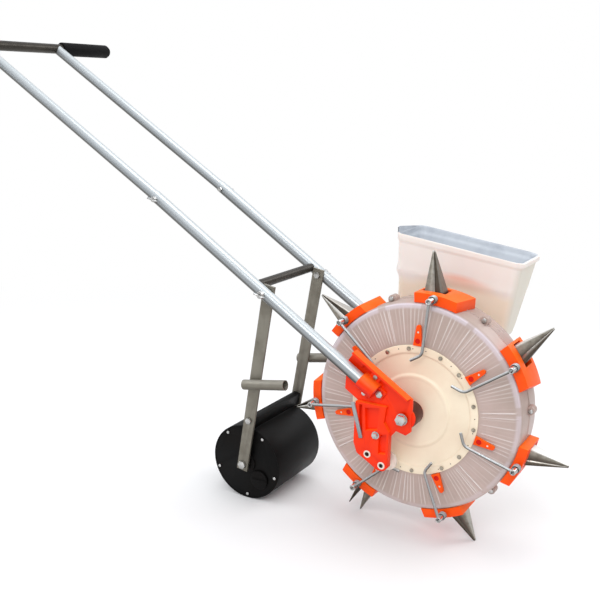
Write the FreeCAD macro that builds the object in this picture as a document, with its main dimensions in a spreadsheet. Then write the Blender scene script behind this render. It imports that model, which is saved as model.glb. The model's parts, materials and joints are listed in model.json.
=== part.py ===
import FreeCAD, Part
import Sketcher
import math
import os

Vector = FreeCAD.Vector
Placement = FreeCAD.Placement
Rotation = FreeCAD.Rotation

# Driving sizes in millimetres and degrees. X is the way the machine is pushed, Y runs along
# the wheel's axle away from the near side, Z is up. Lengths are measured from the axle.
sizes = {
    "tip_radius": 310, "beak_count": 7, "drum_radius": 217, "drum_half_width": 42,
    "drum_wall": 3, "shoulder": 5, "face_out": 51.7, "shell_bore": 121, "seat_radius": 137,
    "seam_lug_radius": 9, "seam_lug_half": 9, "seam_lug_turn": 30.8, "seam_lug_rise": 4,
    "seam_bolt_radius": 2.5, "seam_bolt_rise": 5.5, "seam_head_radius": 4.75, "seam_head": 3,
    "chute_radius": 12, "chute_x": 4, "seat_gap": 0.3, "fit_gap": 0.05,
    "plate_radius": 135, "plate_thickness": 2.6, "dish_depth": 3, "dish_radius": 118,
    "centre_radius": 73, "plate_bore": 20.3, "screw_circle": 128.3, "screw_radius": 2,
    "screw_head_radius": 4.2, "screw_head": 2.6, "screw_turn_a": -7.2, "screw_turn_b": 23,
    "seed_hole_radius": 10, "seed_hole_circle": 36, "seed_hole_count": 6,
    "hub_radius": 20, "hub_flange_radius": 45, "hub_flange": 3, "hub_half": 58,
    "bearing_outer": 14, "bearing_width": 9,
    "axle_radius": 8, "axle_over": 3, "axle_head_radius": 12, "axle_washer": 2.5,
    "axle_hex": 9.5, "axle_hex_height": 8.5,
    "holder_height": 19, "holder_near": 43, "holder_far": 30, "holder_back": -16,
    "holder_front": 69, "holder_splay": 8.7,
    "window_back": -12.5, "window_front": 36, "window_half": 18.5,
    "beak_back": -9.5, "beak_seam": 15, "beak_front": 30, "beak_half": 17, "beak_wall": 2,
    "beak_root": 231, "beak_foot": 221, "beak_tip_half": 2, "beak_tip_depth": 2.4,
    "pivot_x": 24.1, "pivot_z": 227.4, "sleeve_radius": 6, "sleeve_bore": 3,
    "sleeve_bore_deep": 12,
    "sleeve_near": 73, "sleeve_far": 29,
    "lever_radius": 3, "lever_plane": 68.6, "lever_bend_x": 16.9, "lever_bend_z": 122.8,
    "lever_tip_x": -6.6, "lever_tip_z": 108.3, "lever_bend_radius": 12, "beak_open": 18.5, "open_beak": 5,
    "spring_wall": 2.4, "spring_length": 14.4,
    "gate_inner": 136, "gate_outer": 177, "gate_width": 18, "gate_tip": 4.5, "gate_height": 6,
    "gate_centre": 2, "gate_recess": 5.5, "gate_recess_depth": 4, "gate_recess_in": 9,
    "gate_hole": 2.2, "gate_hole_out": 14,
    "tube_plane": 115.8, "tube_angle": 32.55, "tube_offset": 9.8, "tube_radius": 12.5,
    "tube_bore": 11.2, "splice_place": 701.7, "splice_overlap": 60,
    "upper_angle": 31.4, "upper_radius": 11, "upper_bore": 9.5, "upper_length": 566,
    "bar_radius": 11, "bar_half": 286, "bar_wall": 1.6, "grip_length": 162,
    "grip_radius": 15.5, "grip_end": 4, "cross_place": 400.4, "cross_radius": 9.5,
    "splice_bolt_radius": 3, "splice_bolt_back": 14,
    "plate_back": 97, "plate_front": 103, "rib_front": 112, "flange_front": 117,
    "flange_back": 100, "pad_front": 107, "pad_low": 124, "pad_side": 17,
    "bracket_top": 45, "bracket_end": 155, "bracket_wing": 38, "bracket_rim": 5,
    "leg_left": -101, "leg_right": -24, "leg_top": 20, "lobe_right": 18, "lobe_bottom": -34,
    "bush_rim": 12, "stud_rim": 10, "groove_right": -84, "groove_low": -56, "cell_right": -47,
    "cell_low": -32, "toe_low": -80,
    "boss_radius": 24, "boss_near": 58.6, "cap_radius": 56, "cap_near": 55.4, "cap_far": 82.5,
    "clamp_wall": 3.5, "clamp_low": 72.5, "clamp_high": 111, "clamp_tab": 22, "tab_thick": 4,
    "tab_low": 80, "tab_high": 102, "tab_side": 30, "tongue_low": 55, "tongue_half": 10,
    "clamp_bolt": 4, "clamp_bolt_place": 64.5, "clamp_bolt_flats": 13, "clamp_bolt_head": 5,
    "tab_screw": 2.5, "tab_screw_head": 4.5, "tab_screw_rise": 3, "striker_x": -37, "striker_z": -106,
    "striker_radius": 20, "striker_width": 8, "striker_near": 84, "pin_radius": 4,
    "spare_x": -69, "spare_z": -88, "bush_radius": 7, "bush_lip": 2,
    "bush_lip_high": 1.2, "stud_x": -52, "stud_z": -43,
    "stud_radius": 4, "stud_washer": 1.5, "stud_flats": 11, "stud_head": 5,
    "pin_collar": 2.7, "pin_collar_radius": 6.5, "pin_eye": 2.4, "pin_eye_deep": 8, "striker_boss": 9,
    "strip_width": 8, "strip_thick": 3, "strip_top_x": -104.5, "strip_top_z": 17.6,
    "strip_low_x": -83.7, "strip_low_z": -55.5,
    "hopper_front": 85, "hopper_back": 213, "hopper_left": -120.6, "hopper_right": 145.5,
    "mouth_left_z": 321.3, "mouth_right_z": 284.1, "waist_z": 170, "waist_back": 172, "waist_slope": 0.8,
    "waist_left": -112, "waist_right": 142, "outlet_z": 105, "outlet_left": 16,
    "outlet_right": 62, "outlet_back": 109, "hopper_wall": 3, "chute_left": 8, "chute_right": 40,
    "chute_low": 38, "wall_step": 3,
    "arm_width": 27, "arm_thick": 5, "arm_pivot_place": 375, "arm_over": 14,
    "roller_x": -381.9, "roller_radius": 88, "roller_half": 89,
    "roller_wall": 2.5, "cap_thick": 3, "cap_inset": 1, "roller_screws": 5,
    "roller_screw_circle": 81.9, "roller_screw_turn": 127.7, "roller_axle_radius": 8,
    "cap_hub_radius": 24, "cap_hub": 4, "cap_neck_radius": 16, "cap_neck": 8,
    "cap_screw": 2, "cap_screw_head": 3.6, "plug_bar": 4, "plug_radius": 22,
    "plug_height": 4, "plug_turn": -45, "plug_circle": 50,
    "stub_radius": 11, "stub_bore": 9.4, "stub_length": 106, "stub_place": 205,
    "stub_back": 13, "stub_tilt": 9.6, "scraper_width": 16, "scraper_thick": 3,
    "wing_core": 5, "wing_reach": 11, "wing_height": 9, "wing_thick": 2.4, "wing_rise": 25,
    "wing_turn": 20, "washer": 1.5, "bolt_head": 5, "arm_bolt_flats": 13,
    "scraper_place": 296, "scraper_gap": 1, "scraper_bolt_in": 10, "scraper_back": 6,
    "scraper_reach": 30, "scraper_lug": 7, "scraper_lug_long": 14, "arm_bolt_radius": 4,
    "roller_end_radius": 6, "roller_nut_flats": 17, "roller_nut": 6,
}
doc = FreeCAD.newDocument("row_dibbler")
sheet = doc.addObject("Spreadsheet::Sheet", "sizes")
for row, (alias, size) in enumerate(sizes.items(), 1):
    sheet.set(f"A{row}", alias)
    sheet.set(f"B{row}", str(size))
    sheet.setAlias(f"B{row}", alias)
doc.recompute()
work_cell = f"D{len(sizes) + 2}"
worked = {}


def number(text):
    """What an expression on the sheet's names comes to."""
    if text not in worked:
        sheet.set(work_cell, "=" + text)
        sheet.recompute()
        worked[text] = float(sheet.get(work_cell))
    return worked[text]


def bound(text):
    """The same expression written for an object outside the sheet."""
    out, word = "", ""
    for char in text + " ":
        if char.isalnum() or char == "_":
            word += char
            continue
        out += ("sizes." + word if word in sizes else word) + char
        word = ""
    return out.strip()


# The axle's place in the part's frame: origin on the floor, midway along the machine.
half_step = 180 / number("beak_count")
axle_z = number("tip_radius") * math.cos(math.radians(half_step))
roller_z = number("roller_radius") - axle_z
tube_turn = math.radians(number("tube_angle"))
along = Vector(-math.cos(tube_turn), 0, math.sin(tube_turn))
across = Vector(math.sin(tube_turn), 0, math.cos(tube_turn))
upper_turn = math.radians(number("upper_angle"))
upper_along = Vector(-math.cos(upper_turn), 0, math.sin(upper_turn))
tube_foot = across * number("tube_offset")
splice = tube_foot + along * number("splice_place")
upper_foot = splice - upper_along * number("splice_overlap")
bar_at = splice + upper_along * number("upper_length")
front_reach = number("tip_radius") * math.cos(math.radians(90 - 2 * 360 / number("beak_count")))
axle_x = (number("grip_radius") - bar_at.x - front_reach) / 2
home = Placement(Vector(axle_x, 0, axle_z), Rotation())
kept = {}


def keep(name, thing, place=Placement()):
    """Names a finished sub-part and puts it in the part's frame."""
    thing.Label = name
    thing.Placement = home.multiply(place).multiply(thing.Placement)
    kept[name] = thing
    return thing


def primitive(kind, bindings, place=Placement()):
    thing = doc.addObject(kind, kind.split("::")[1].lower())
    for key, text in bindings.items():
        thing.setExpression(key, bound(text))
    thing.Placement = place
    return thing


def facing(point, direction):
    """A placement with its Z along a direction."""
    return Placement(point, Rotation(Vector(0, 0, 1), direction))


def rod(radius, length, point, direction):
    return primitive("Part::Cylinder", {"Radius": radius, "Height": length}, facing(point, direction))


def box(length, width, height, place):
    return primitive("Part::Box", {"Length": length, "Width": width, "Height": height}, place)


def cut(base, tool):
    thing = doc.addObject("Part::Cut", "cut")
    thing.Base, thing.Tool = base, tool
    return thing


def fuse(*things):
    thing = doc.addObject("Part::MultiFuse", "fuse")
    thing.Shapes = list(things)
    return thing


def group(*things):
    thing = doc.addObject("Part::Compound", "group")
    thing.Links = list(things)
    return thing


def plane_of(body, role):
    return next(f for f in body.Origin.OriginFeatures if f.Role == role)


def sketch_on(body, role, offset="0"):
    sketch = body.newObject("Sketcher::SketchObject", "sketch")
    sketch.AttachmentSupport = [(plane_of(body, role), "")]
    sketch.MapMode = "FlatFace"
    sketch.setExpression("AttachmentOffset.Base.z", bound(offset))
    return sketch


def pin_point(sketch, item, end, x, y):
    for kind, text in (("DistanceX", x), ("DistanceY", y)):
        index = sketch.addConstraint(Sketcher.Constraint(kind, -1, 1, item, end, number(text)))
        sketch.setExpression(f"Constraints[{index}]", bound(text))


def loop(sketch, points):
    """A closed outline whose corners are held by the sheet."""
    spots = [Vector(number(x), number(y), 0) for x, y in points]
    first = sketch.GeometryCount
    count = len(spots)
    for i in range(count):
        sketch.addGeometry(Part.LineSegment(spots[i], spots[(i + 1) % count]))
    for i in range(count):
        sketch.addConstraint(Sketcher.Constraint("Coincident", first + i, 2, first + (i + 1) % count, 1))
    for i, (x, y) in enumerate(points):
        pin_point(sketch, first + i, 1, x, y)


def turned(name, points):
    """A body turned about the axle, from (radius, y) corners."""
    body = doc.addObject("PartDesign::Body", name)
    sketch = sketch_on(body, "XY_Plane")
    loop(sketch, points)
    turn = body.newObject("PartDesign::Revolution", "turn")
    turn.Profile = sketch
    turn.ReferenceAxis = (sketch, ["V_Axis"])
    turn.Angle = 360
    return body


def pad(body, sketch, length, reversed_way=False):
    thing = body.newObject("PartDesign::Pad", "pad")
    thing.Profile = sketch
    thing.setExpression("Length", bound(length))
    thing.Reversed = reversed_way
    return thing


def pocket(body, sketch, length, reversed_way=False):
    thing = body.newObject("PartDesign::Pocket", "pocket")
    thing.Profile = sketch
    thing.setExpression("Length", bound(length))
    thing.Reversed = reversed_way
    return thing


def solid(shape):
    thing = doc.addObject("Part::Feature", "form")
    thing.Shape = shape
    return thing


beak_count = int(number("beak_count"))
beak_step = 360 / number("beak_count")


def at_beak(index, extra=0.0):
    """Turns a piece from the upright beak to its own, clockwise seen from the near side."""
    return Placement(Vector(), Rotation(Vector(0, 1, 0), beak_step * index + extra))


# Drum: two clear shells that meet in the middle, with a lug and bolt between beaks.
def drum_shell(name, way):
    y = lambda text: f"({text}) * {way}"
    body = turned(name, [
        ("shell_bore", y("face_out")), ("seat_radius", y("face_out")),
        ("drum_radius - shoulder", y("drum_half_width + drum_wall")),
        ("drum_radius", y("drum_half_width + drum_wall - shoulder")), ("drum_radius", "0"),
        ("drum_radius - drum_wall", "0"),
        ("drum_radius - drum_wall", y("drum_half_width - shoulder + 1")),
        ("drum_radius - shoulder - 1", y("drum_half_width")),
        ("seat_radius", y("face_out - drum_wall")), ("shell_bore", y("face_out - drum_wall"))])
    doc.recompute()
    shell = body
    lugs, holes = [], []
    for index in range(beak_count):
        turn = at_beak(index, number("seam_lug_turn"))
        middle = Vector(0, 0, number("drum_radius + seam_lug_rise"))
        direction = Vector(0, way, 0)
        lug = rod("seam_lug_radius", "seam_lug_half", middle, direction)
        lug.Placement = turn.multiply(lug.Placement)
        lugs.append(lug)
        hole = rod("seam_bolt_radius + seat_gap", "seam_lug_half",
                   Vector(0, 0, number("drum_radius + seam_bolt_rise")), direction)
        hole.Placement = turn.multiply(hole.Placement)
        holes.append(hole)
        for screw_turn in ("screw_turn_a", "screw_turn_b"):
            drill = rod("screw_radius + seat_gap", "drum_wall * 3",
                        Vector(0, way * number("face_out - drum_wall * 2"), number("screw_circle")), direction)
            drill.Placement = at_beak(index, number(screw_turn)).multiply(drill.Placement)
            holes.append(drill)
        chute = rod("chute_radius", "drum_wall * 8",
                    Vector(number("chute_x"), 0, number("drum_radius - drum_wall * 6")), Vector(0, 0, 1))
        chute.Placement = at_beak(index).multiply(chute.Placement)
        holes.append(chute)
    inner = rod("drum_radius - drum_wall", "face_out", Vector(), Vector(0, way, 0))
    return keep(name, cut(fuse(shell, cut(fuse(*lugs), inner)), fuse(*holes)))


drum_shell("near_drum_shell", -1)
drum_shell("far_drum_shell", 1)


def bolt(shaft, head, point, direction, length, height):
    """A shaft with a round head past its far end."""
    unit = Vector(direction).normalize()
    return fuse(rod(shaft, length, point, unit), rod(head, height, point + unit * number(length), unit))


seam_bolts = []
for index in range(beak_count):
    start = Vector(0, number("seam_lug_half + seat_gap"), number("drum_radius + seam_bolt_rise"))
    shaft = bolt("seam_bolt_radius", "seam_head_radius", start, Vector(0, -1, 0),
                 "seam_lug_half * 2 + seat_gap * 2", "seam_head")
    nut = rod("seam_head_radius", "seam_head", start, Vector(0, 1, 0))
    both = fuse(shaft, nut)
    both.Placement = at_beak(index, number("seam_lug_turn"))
    seam_bolts.append(both)
keep("drum_bolts", group(*seam_bolts))


# Cover plates: a flange, a shallow dish and a raised middle.
def cover_plate(name, way):
    y = lambda text: f"({text}) * {way}"
    face = "face_out + seat_gap"
    outer = f"{face} + plate_thickness"
    body = turned(name, [
        ("plate_bore", y(face)), ("centre_radius - 1", y(face)),
        ("centre_radius + dish_depth - 1", y(f"{face} - dish_depth")),
        ("dish_radius - dish_depth", y(f"{face} - dish_depth")), ("dish_radius", y(face)),
        ("plate_radius", y(face)), ("plate_radius", y(outer)), ("dish_radius + 1", y(outer)),
        ("dish_radius + 1 - dish_depth", y(f"{outer} - dish_depth")),
        ("centre_radius + dish_depth", y(f"{outer} - dish_depth")),
        ("centre_radius", y(outer)), ("plate_bore", y(outer))])
    doc.recompute()
    holes = []
    for index in range(beak_count):
        for turn in ("screw_turn_a", "screw_turn_b"):
            spot = Vector(0, way * number("face_out - plate_thickness"), number("screw_circle"))
            hole = rod("screw_radius + seat_gap", "plate_thickness * 4", spot, Vector(0, way, 0))
            hole.Placement = at_beak(index, number(turn)).multiply(hole.Placement)
            holes.append(hole)
    if way > 0:
        for index in range(int(number("seed_hole_count"))):
            spot = Vector(0, number("face_out - plate_thickness * 2"), number("seed_hole_circle"))
            hole = rod("seed_hole_radius", "plate_thickness * 6", spot, Vector(0, 1, 0))
            turn = Rotation(Vector(0, 1, 0), 360 / number("seed_hole_count") * index)
            hole.Placement = Placement(Vector(), turn).multiply(hole.Placement)
            holes.append(hole)
    return keep(name, cut(body, fuse(*holes)))


cover_plate("near_cover_plate", -1)
cover_plate("far_cover_plate", 1)

plate_screws = []
for way in (-1, 1):
    for index in range(beak_count):
        for turn in ("screw_turn_a", "screw_turn_b"):
            start = Vector(0, way * number("face_out - drum_wall"), number("screw_circle"))
            screw = bolt("screw_radius", "screw_head_radius", start, Vector(0, way, 0),
                         "drum_wall + plate_thickness + seat_gap * 2", "screw_head")
            screw.Placement = at_beak(index, number(turn))
            plate_screws.append(screw)
keep("plate_screws", group(*plate_screws))

# Hub: a spool on two plain bearings; its flanges carry the cover plates.
hub = turned("hub", [
    ("axle_radius + 1", "-hub_half + bearing_width"), ("bearing_outer", "-hub_half + bearing_width"),
    ("bearing_outer", "-hub_half"), ("hub_radius", "-hub_half"), ("hub_radius", "-face_out"),
    ("hub_flange_radius", "-face_out"), ("hub_flange_radius", "-face_out + hub_flange"),
    ("hub_radius", "-face_out + hub_flange"), ("hub_radius", "face_out - hub_flange"),
    ("hub_radius + 5", "face_out - hub_flange"), ("hub_radius + 5", "face_out"),
    ("hub_radius", "face_out"), ("hub_radius", "hub_half"), ("bearing_outer", "hub_half"),
    ("bearing_outer", "hub_half - bearing_width"), ("axle_radius + 1", "hub_half - bearing_width")])
keep("wheel_hub", hub)
bearings = []
for way in (-1, 1):
    inner_y = way * number("hub_half - bearing_width + seat_gap / 3")
    outer = rod("bearing_outer - seat_gap / 10", "bearing_width", Vector(0, inner_y, 0), Vector(0, way, 0))
    inner = rod("axle_radius + fit_gap", "bearing_width", Vector(0, inner_y, 0), Vector(0, way, 0))
    bearings.append(cut(outer, inner))
keep("wheel_bearings", group(*bearings))


# Holders: arc blocks on the barrel, with a window for the beak and a bore for its sleeve.
holder_low = math.degrees(math.asin(number("holder_back / drum_radius")))
holder_reach = "holder_front + (holder_near + holder_far) * tan(holder_splay)"
for index in range(beak_count):
    body = doc.addObject("PartDesign::Body", f"holder{index + 1}")
    sketch = sketch_on(body, "XY_Plane")
    loop(sketch, [("drum_radius + seat_gap", "-holder_near"), ("drum_radius + holder_height", "-holder_near"),
                  ("drum_radius + holder_height", "holder_far"), ("drum_radius + seat_gap", "holder_far")])
    turn = body.newObject("PartDesign::Revolution", "turn")
    turn.Profile = sketch
    turn.ReferenceAxis = (sketch, ["V_Axis"])
    turn.setExpression("Angle", bound(f"asin(({holder_reach}) / drum_radius) - asin(holder_back / drum_radius)"))
    doc.recompute()
    body.Placement = Placement(Vector(), Rotation(Vector(0, 1, 0), holder_low - 90))
    window_low = Vector(number("window_back"), -number("window_half"), number("drum_radius - holder_height"))
    window = box("window_front - window_back", "window_half * 2", "holder_height * 3",
                 Placement(window_low, Rotation()))
    bore = rod("sleeve_radius + fit_gap", "holder_near + holder_far + 2",
               Vector(number("pivot_x"), -number("holder_near") - 1, number("pivot_z")), Vector(0, 1, 0))
    splay = Rotation(Vector(0, 0, 1), -number("holder_splay"))
    corner = Vector(number("holder_front"), -number("holder_near"), number("drum_radius / 2"))
    trim = box("drum_radius", "(holder_near + holder_far) * 2", "drum_radius",
               Placement(corner - splay.multVec(Vector(0, number("holder_near / 2"), 0)), splay))
    keep(f"beak_holder_{index + 1}", cut(body, fuse(window, bore, trim)), at_beak(index))


# Beaks: each half is a tapered folded shell; the pair closes on a seam that ends at the tip.
def channel(z, back, front, half, wall, open_to_front):
    """A U section, open on one side, at a height."""
    if open_to_front:
        corners = [(front, -half), (back, -half), (back, half), (front, half),
                   (front, half - wall), (back + wall, half - wall), (back + wall, wall - half),
                   (front, wall - half)]
    else:
        corners = [(back, -half), (front, -half), (front, half), (back, half),
                   (back, half - wall), (front - wall, half - wall), (front - wall, wall - half),
                   (back, wall - half)]
    points = [Vector(x, y, z) for x, y in corners]
    return Part.makePolygon(points + points[:1])


wall = number("beak_wall")
half = number("beak_half")
tip_z = number("tip_radius")
tip_half = number("beak_tip_half")
tip_deep = number("beak_tip_depth")
seam = number("beak_seam")
gap = number("seat_gap")
foot = number("beak_foot")
root = number("beak_root")
thin = tip_half * 0.4
for index in range(beak_count):
    fixed = Part.makeLoft([channel(foot, number("beak_back"), seam, half, wall, True),
                           channel(root, number("beak_back"), seam, half, wall, True)], True, True)
    spike = Part.makeLoft([channel(root, number("beak_back"), seam, half, wall, True),
                           channel(tip_z, -tip_deep, 0, tip_half, thin, True)], True, True)
    keep(f"fixed_beak_{index + 1}", solid(fixed.fuse(spike).removeSplitter()), at_beak(index))


def rod_along(points, radius, bend):
    """A round rod through the points, with the middle corner bent to a radius."""
    a, b, c = points
    u, v = (a - b).normalize(), (c - b).normalize()
    angle = u.getAngle(v)
    reach = bend / math.tan(angle / 2)
    p, q = b + u * reach, b + v * reach
    centre = b + (u + v).normalize() * (bend / math.sin(angle / 2))
    middle = centre + (b - centre).normalize() * bend
    path = Part.Wire([Part.LineSegment(a, p).toShape(), Part.Arc(p, middle, q).toShape(),
                      Part.LineSegment(q, c).toShape()])
    ends = Part.Wire([Part.Circle(a, (b - a), radius).toShape()])
    return path.makePipeShell([ends], True, False)


pivot = Vector(number("pivot_x"), 0, number("pivot_z"))
for index in range(beak_count):
    front = number("beak_front")
    spike = Part.makeLoft([channel(root, seam + gap, front, half, wall, False),
                           channel(tip_z, gap, gap + tip_deep, tip_half, thin, False)], True, True)
    near, far = number("sleeve_near"), number("sleeve_far")
    sleeve = Part.makeCylinder(number("sleeve_radius"), near + far, pivot + Vector(0, -near, 0), Vector(0, 1, 0))
    cheek = Part.makeBox(front - seam - gap, 2 * half, root - pivot.z, Vector(seam + gap, -half, pivot.z))
    y = -number("lever_plane")
    lever = rod_along([Vector(pivot.x, y, pivot.z), Vector(number("lever_bend_x"), y, number("lever_bend_z")),
                       Vector(number("lever_tip_x"), y, number("lever_tip_z"))],
                      number("lever_radius"), number("lever_bend_radius"))
    bore = Part.makeCylinder(number("sleeve_bore"), number("sleeve_bore_deep"),
                             pivot + Vector(0, -near, 0), Vector(0, 1, 0))
    beak = spike.fuse([cheek, sleeve, lever]).cut(bore).removeSplitter()
    place = at_beak(index)
    if index == int(number("open_beak")) - 1:
        swing = Placement(Vector(), Rotation(Vector(0, 1, 0), number("beak_open")), pivot)
        place = place.multiply(swing)
    keep(f"moving_beak_{index + 1}", solid(beak), place)

# Return springs: closed coils round each sleeve, between the holder's near wall and the lever.
springs = []
for index in range(beak_count):
    start = pivot - Vector(0, number("holder_near + seat_gap"), 0)
    outer = rod("sleeve_radius + seat_gap + spring_wall", "spring_length", start, Vector(0, -1, 0))
    inner = rod("sleeve_radius + seat_gap", "spring_length", start, Vector(0, -1, 0))
    spring = cut(outer, inner)
    spring.Placement = at_beak(index)
    springs.append(spring)
keep("beak_springs", group(*springs))

# Seed gates on the near face, one beside each lever: wedges with a sunk pivot and a sight hole.
gates = []
for index in range(beak_count):
    low, high = number("gate_inner"), number("gate_outer")
    base = -number("face_out + seat_gap")
    centre, tip = number("gate_centre"), number("gate_tip")
    wide, deep = number("gate_width") / 2, number("gate_height")
    corners = [Vector(centre - tip, base, high - tip), Vector(centre - wide, base, low),
               Vector(centre + wide, base, low), Vector(centre + tip, base, high - tip)]
    edges = [Part.LineSegment(corners[i], corners[i + 1]).toShape() for i in range(3)]
    edges.append(Part.Arc(corners[3], Vector(centre, base, high), corners[0]).toShape())
    body = Part.Face(Part.Wire(edges)).extrude(Vector(0, -deep, 0))
    recess = Part.makeCylinder(number("gate_recess"), number("gate_recess_depth"),
                               Vector(centre, base - deep, low + number("gate_recess_in")), Vector(0, 1, 0))
    hole = Part.makeCylinder(number("gate_hole"), deep * 3,
                             Vector(centre, base - deep * 2, high - number("gate_hole_out")), Vector(0, 1, 0))
    gate = solid(body.cut(recess.fuse(hole)))
    gate.Placement = at_beak(index)
    gates.append(gate)
keep("seed_gates", group(*gates))


def mirrored(name, source):
    """The far side's piece, a mirror image of the near one."""
    thing = doc.addObject("Part::Mirroring", name)
    thing.Source = source
    thing.Base, thing.Normal = Vector(), Vector(0, 1, 0)
    thing.Label = name
    kept[name] = thing
    return thing


def on_tube(place, side):
    """Where a spot beside the handle tube lies, as x and z of the wheel's frame."""
    return (f"sin(tube_angle) * ({side} + tube_offset) - cos(tube_angle) * ({place})",
            f"cos(tube_angle) * ({side} + tube_offset) + sin(tube_angle) * ({place})")


# Frame brackets: a cast plate with a deep rim and ribs on its leg, and a boss for the axle.
near = Vector(0, -1, 0)
bracket = doc.addObject("PartDesign::Body", "bracket")
outline = sketch_on(bracket, "XZ_Plane", "plate_back")
leg_edge = [("leg_left + 2", "leg_top"), ("leg_left", "spare_z + 20"), ("spare_x - bush_rim * 2", "spare_z - 2"),
            ("spare_x - bush_rim", "spare_z - 9"), ("striker_x - 18", "striker_z - 6"),
            ("striker_x - 8", "striker_z - bush_rim"), ("striker_x + 4", "striker_z - bush_rim"),
            ("leg_right", "striker_z - 3"), ("leg_right", "-44")]
loop(outline, [on_tube("8", "bracket_top - tube_offset"), on_tube("bracket_end", "bracket_top - tube_offset"),
               on_tube("bracket_end + 2", "bracket_wing - 34"), on_tube("bracket_end - 26", "-bracket_wing - 8"),
               *leg_edge, ("-13", "-29"), ("lobe_right - 10", "lobe_bottom"),
               ("lobe_right", "lobe_bottom + 9"), ("lobe_right", "33")])
pad(bracket, outline, "plate_front - plate_back")
doc.recompute()
leg = sketch_on(bracket, "XZ_Plane", "plate_front")
loop(leg, [*leg_edge, ("leg_right", "-32"), ("-36", "-14"), ("-32", "leg_top")])
pad(bracket, leg, "rib_front - plate_front")
doc.recompute()
ribs = sketch_on(bracket, "XZ_Plane", "rib_front")
loop(ribs, [("leg_left + bracket_rim * 2", "leg_top - bracket_rim"), ("groove_right", "leg_top - bracket_rim"),
            ("groove_right + 3", "groove_low"), ("groove_right - bracket_rim - 1", "groove_low - 2")])
loop(ribs, [("groove_right + bracket_rim + 1", "leg_top - bracket_rim * 2"), ("cell_right", "leg_top - bracket_rim"),
            ("cell_right - 2", "cell_low"), ("groove_right + 9", "cell_low - 6")])
loop(ribs, [("cell_right + 1", "cell_low - 8"), ("leg_right - bracket_rim", "cell_low - 6"),
            ("leg_right - bracket_rim", "toe_low"), ("cell_right + 2", "toe_low - 2")])
pocket(bracket, ribs, "rib_front - plate_back - bracket_rim")
doc.recompute()
tube_frame = Placement(tube_foot, Rotation(along, near, across, "XYZ"))


def by_tube(place, side, y, direction=None):
    """A placement beside the near handle tube, y counted outwards from the middle plane."""
    turn = Rotation() if direction is None else Rotation(Vector(0, 0, 1), direction)
    return tube_frame.multiply(Placement(Vector(number(place), number(y), number(side)), turn))


def through_y(radius, start, length, x, z):
    """A round cut or pin along the axle's direction on the near side."""
    return rod(radius, length, Vector(number(x), -number(start), number(z)), near)


flange = box("bracket_end - 12", "flange_front - flange_back", "bracket_rim",
             by_tube("12", "bracket_top - tube_offset - bracket_rim", "flange_back"))
raised = box("bracket_end - pad_low", "pad_front - plate_front + 1",
             "bracket_top - tube_offset - bracket_rim - pad_side", by_tube("pad_low", "pad_side", "plate_front - 1"))
boss = through_y("boss_radius", "boss_near", "plate_back - boss_near + 1", "0", "0")
adds = [bracket, flange, raised, boss,
        through_y("bush_rim", "plate_back", "rib_front - plate_back", "striker_x", "striker_z"),
        through_y("bush_rim", "plate_back", "rib_front - plate_back", "spare_x", "spare_z"),
        through_y("stud_rim", "plate_back", "rib_front - plate_back", "stud_x", "stud_z")]
clear_half = "flange_front - boss_near + 20"
cuts = [through_y("axle_radius + fit_gap", "boss_near - 5", clear_half, "0", "0"),
        through_y("bush_radius", "plate_back - 1", "rib_front", "striker_x", "striker_z"),
        through_y("bush_radius", "plate_back - 1", "rib_front", "spare_x", "spare_z"),
        through_y("stud_radius + seat_gap", "plate_back - 1", "rib_front", "stud_x", "stud_z")]
tab_middle = "(tab_low + tab_high) / 2"
for side in ("-clamp_tab", "clamp_tab"):
    cuts.append(rod("tab_screw + seat_gap", "40", by_tube(tab_middle, side, "plate_back - 1").Base, near))
cuts.append(rod("clamp_bolt + seat_gap", "40", by_tube("clamp_bolt_place", "0", "plate_back - 1").Base, near))
near_bracket = keep("near_bracket", cut(fuse(*adds), fuse(*cuts)))
mirrored("far_bracket", near_bracket)

# Clamps: a trough closed at its lower end over each tube, with two tabs and a bolted tongue.
clamp_seat = "plate_front + seat_gap"
trough = fuse(
    box("clamp_high - clamp_low", f"tube_plane - ({clamp_seat})", "(tube_radius + clamp_wall) * 2",
        by_tube("clamp_low", "-tube_radius - clamp_wall", clamp_seat)),
    rod("tube_radius + clamp_wall", "clamp_high - clamp_low", by_tube("clamp_low", "0", "tube_plane").Base, along),
    box("tab_high - tab_low", "tab_thick", "tab_side * 2", by_tube("tab_low", "-tab_side", clamp_seat)),
    box("clamp_low - tongue_low + 1", "tab_thick", "tongue_half * 2", by_tube("tongue_low", "-tongue_half", clamp_seat)))
back = box("bracket_end * 2", "tube_plane", "bracket_end * 2", by_tube("0", "-bracket_end", clamp_seat + " - tube_plane"))
hollow_low = "clamp_low + clamp_wall"
bore = rod("tube_radius + seat_gap", "bracket_end", by_tube(hollow_low, "0", "tube_plane").Base, along)
open_back = box("bracket_end", "tube_plane - plate_front", "(tube_radius + seat_gap) * 2",
                by_tube(hollow_low, "-tube_radius - seat_gap", "plate_front"))
holes = [rod("tab_screw + seat_gap", "60", by_tube(tab_middle, side, "plate_back").Base, near)
         for side in ("-clamp_tab", "clamp_tab")]
holes.append(rod("clamp_bolt + seat_gap", "80", by_tube("clamp_bolt_place", "0", "plate_back").Base, near))
clamp = cut(trough, fuse(back, bore, open_back, *holes))
clamp_far = doc.addObject("Part::Mirroring", "clamp")
clamp_far.Source, clamp_far.Normal = clamp, Vector(0, 1, 0)
keep("tube_clamps", group(clamp, clamp_far))


def both_sides(name, *things):
    """The same pieces on the near and the far side in one node."""
    near_group = group(*things)
    far_group = doc.addObject("Part::Mirroring", "far")
    far_group.Source, far_group.Normal = near_group, Vector(0, 1, 0)
    return keep(name, group(near_group, far_group))


def hex_prism(across_flats, height, point, direction):
    thing = doc.addObject("Part::Prism", "hexagon")
    thing.Polygon = 6
    thing.setExpression("Circumradius", bound(f"({across_flats}) / 2 / cos(30)"))
    thing.setExpression("Height", bound(height))
    thing.Placement = facing(point, direction)
    return thing


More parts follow.
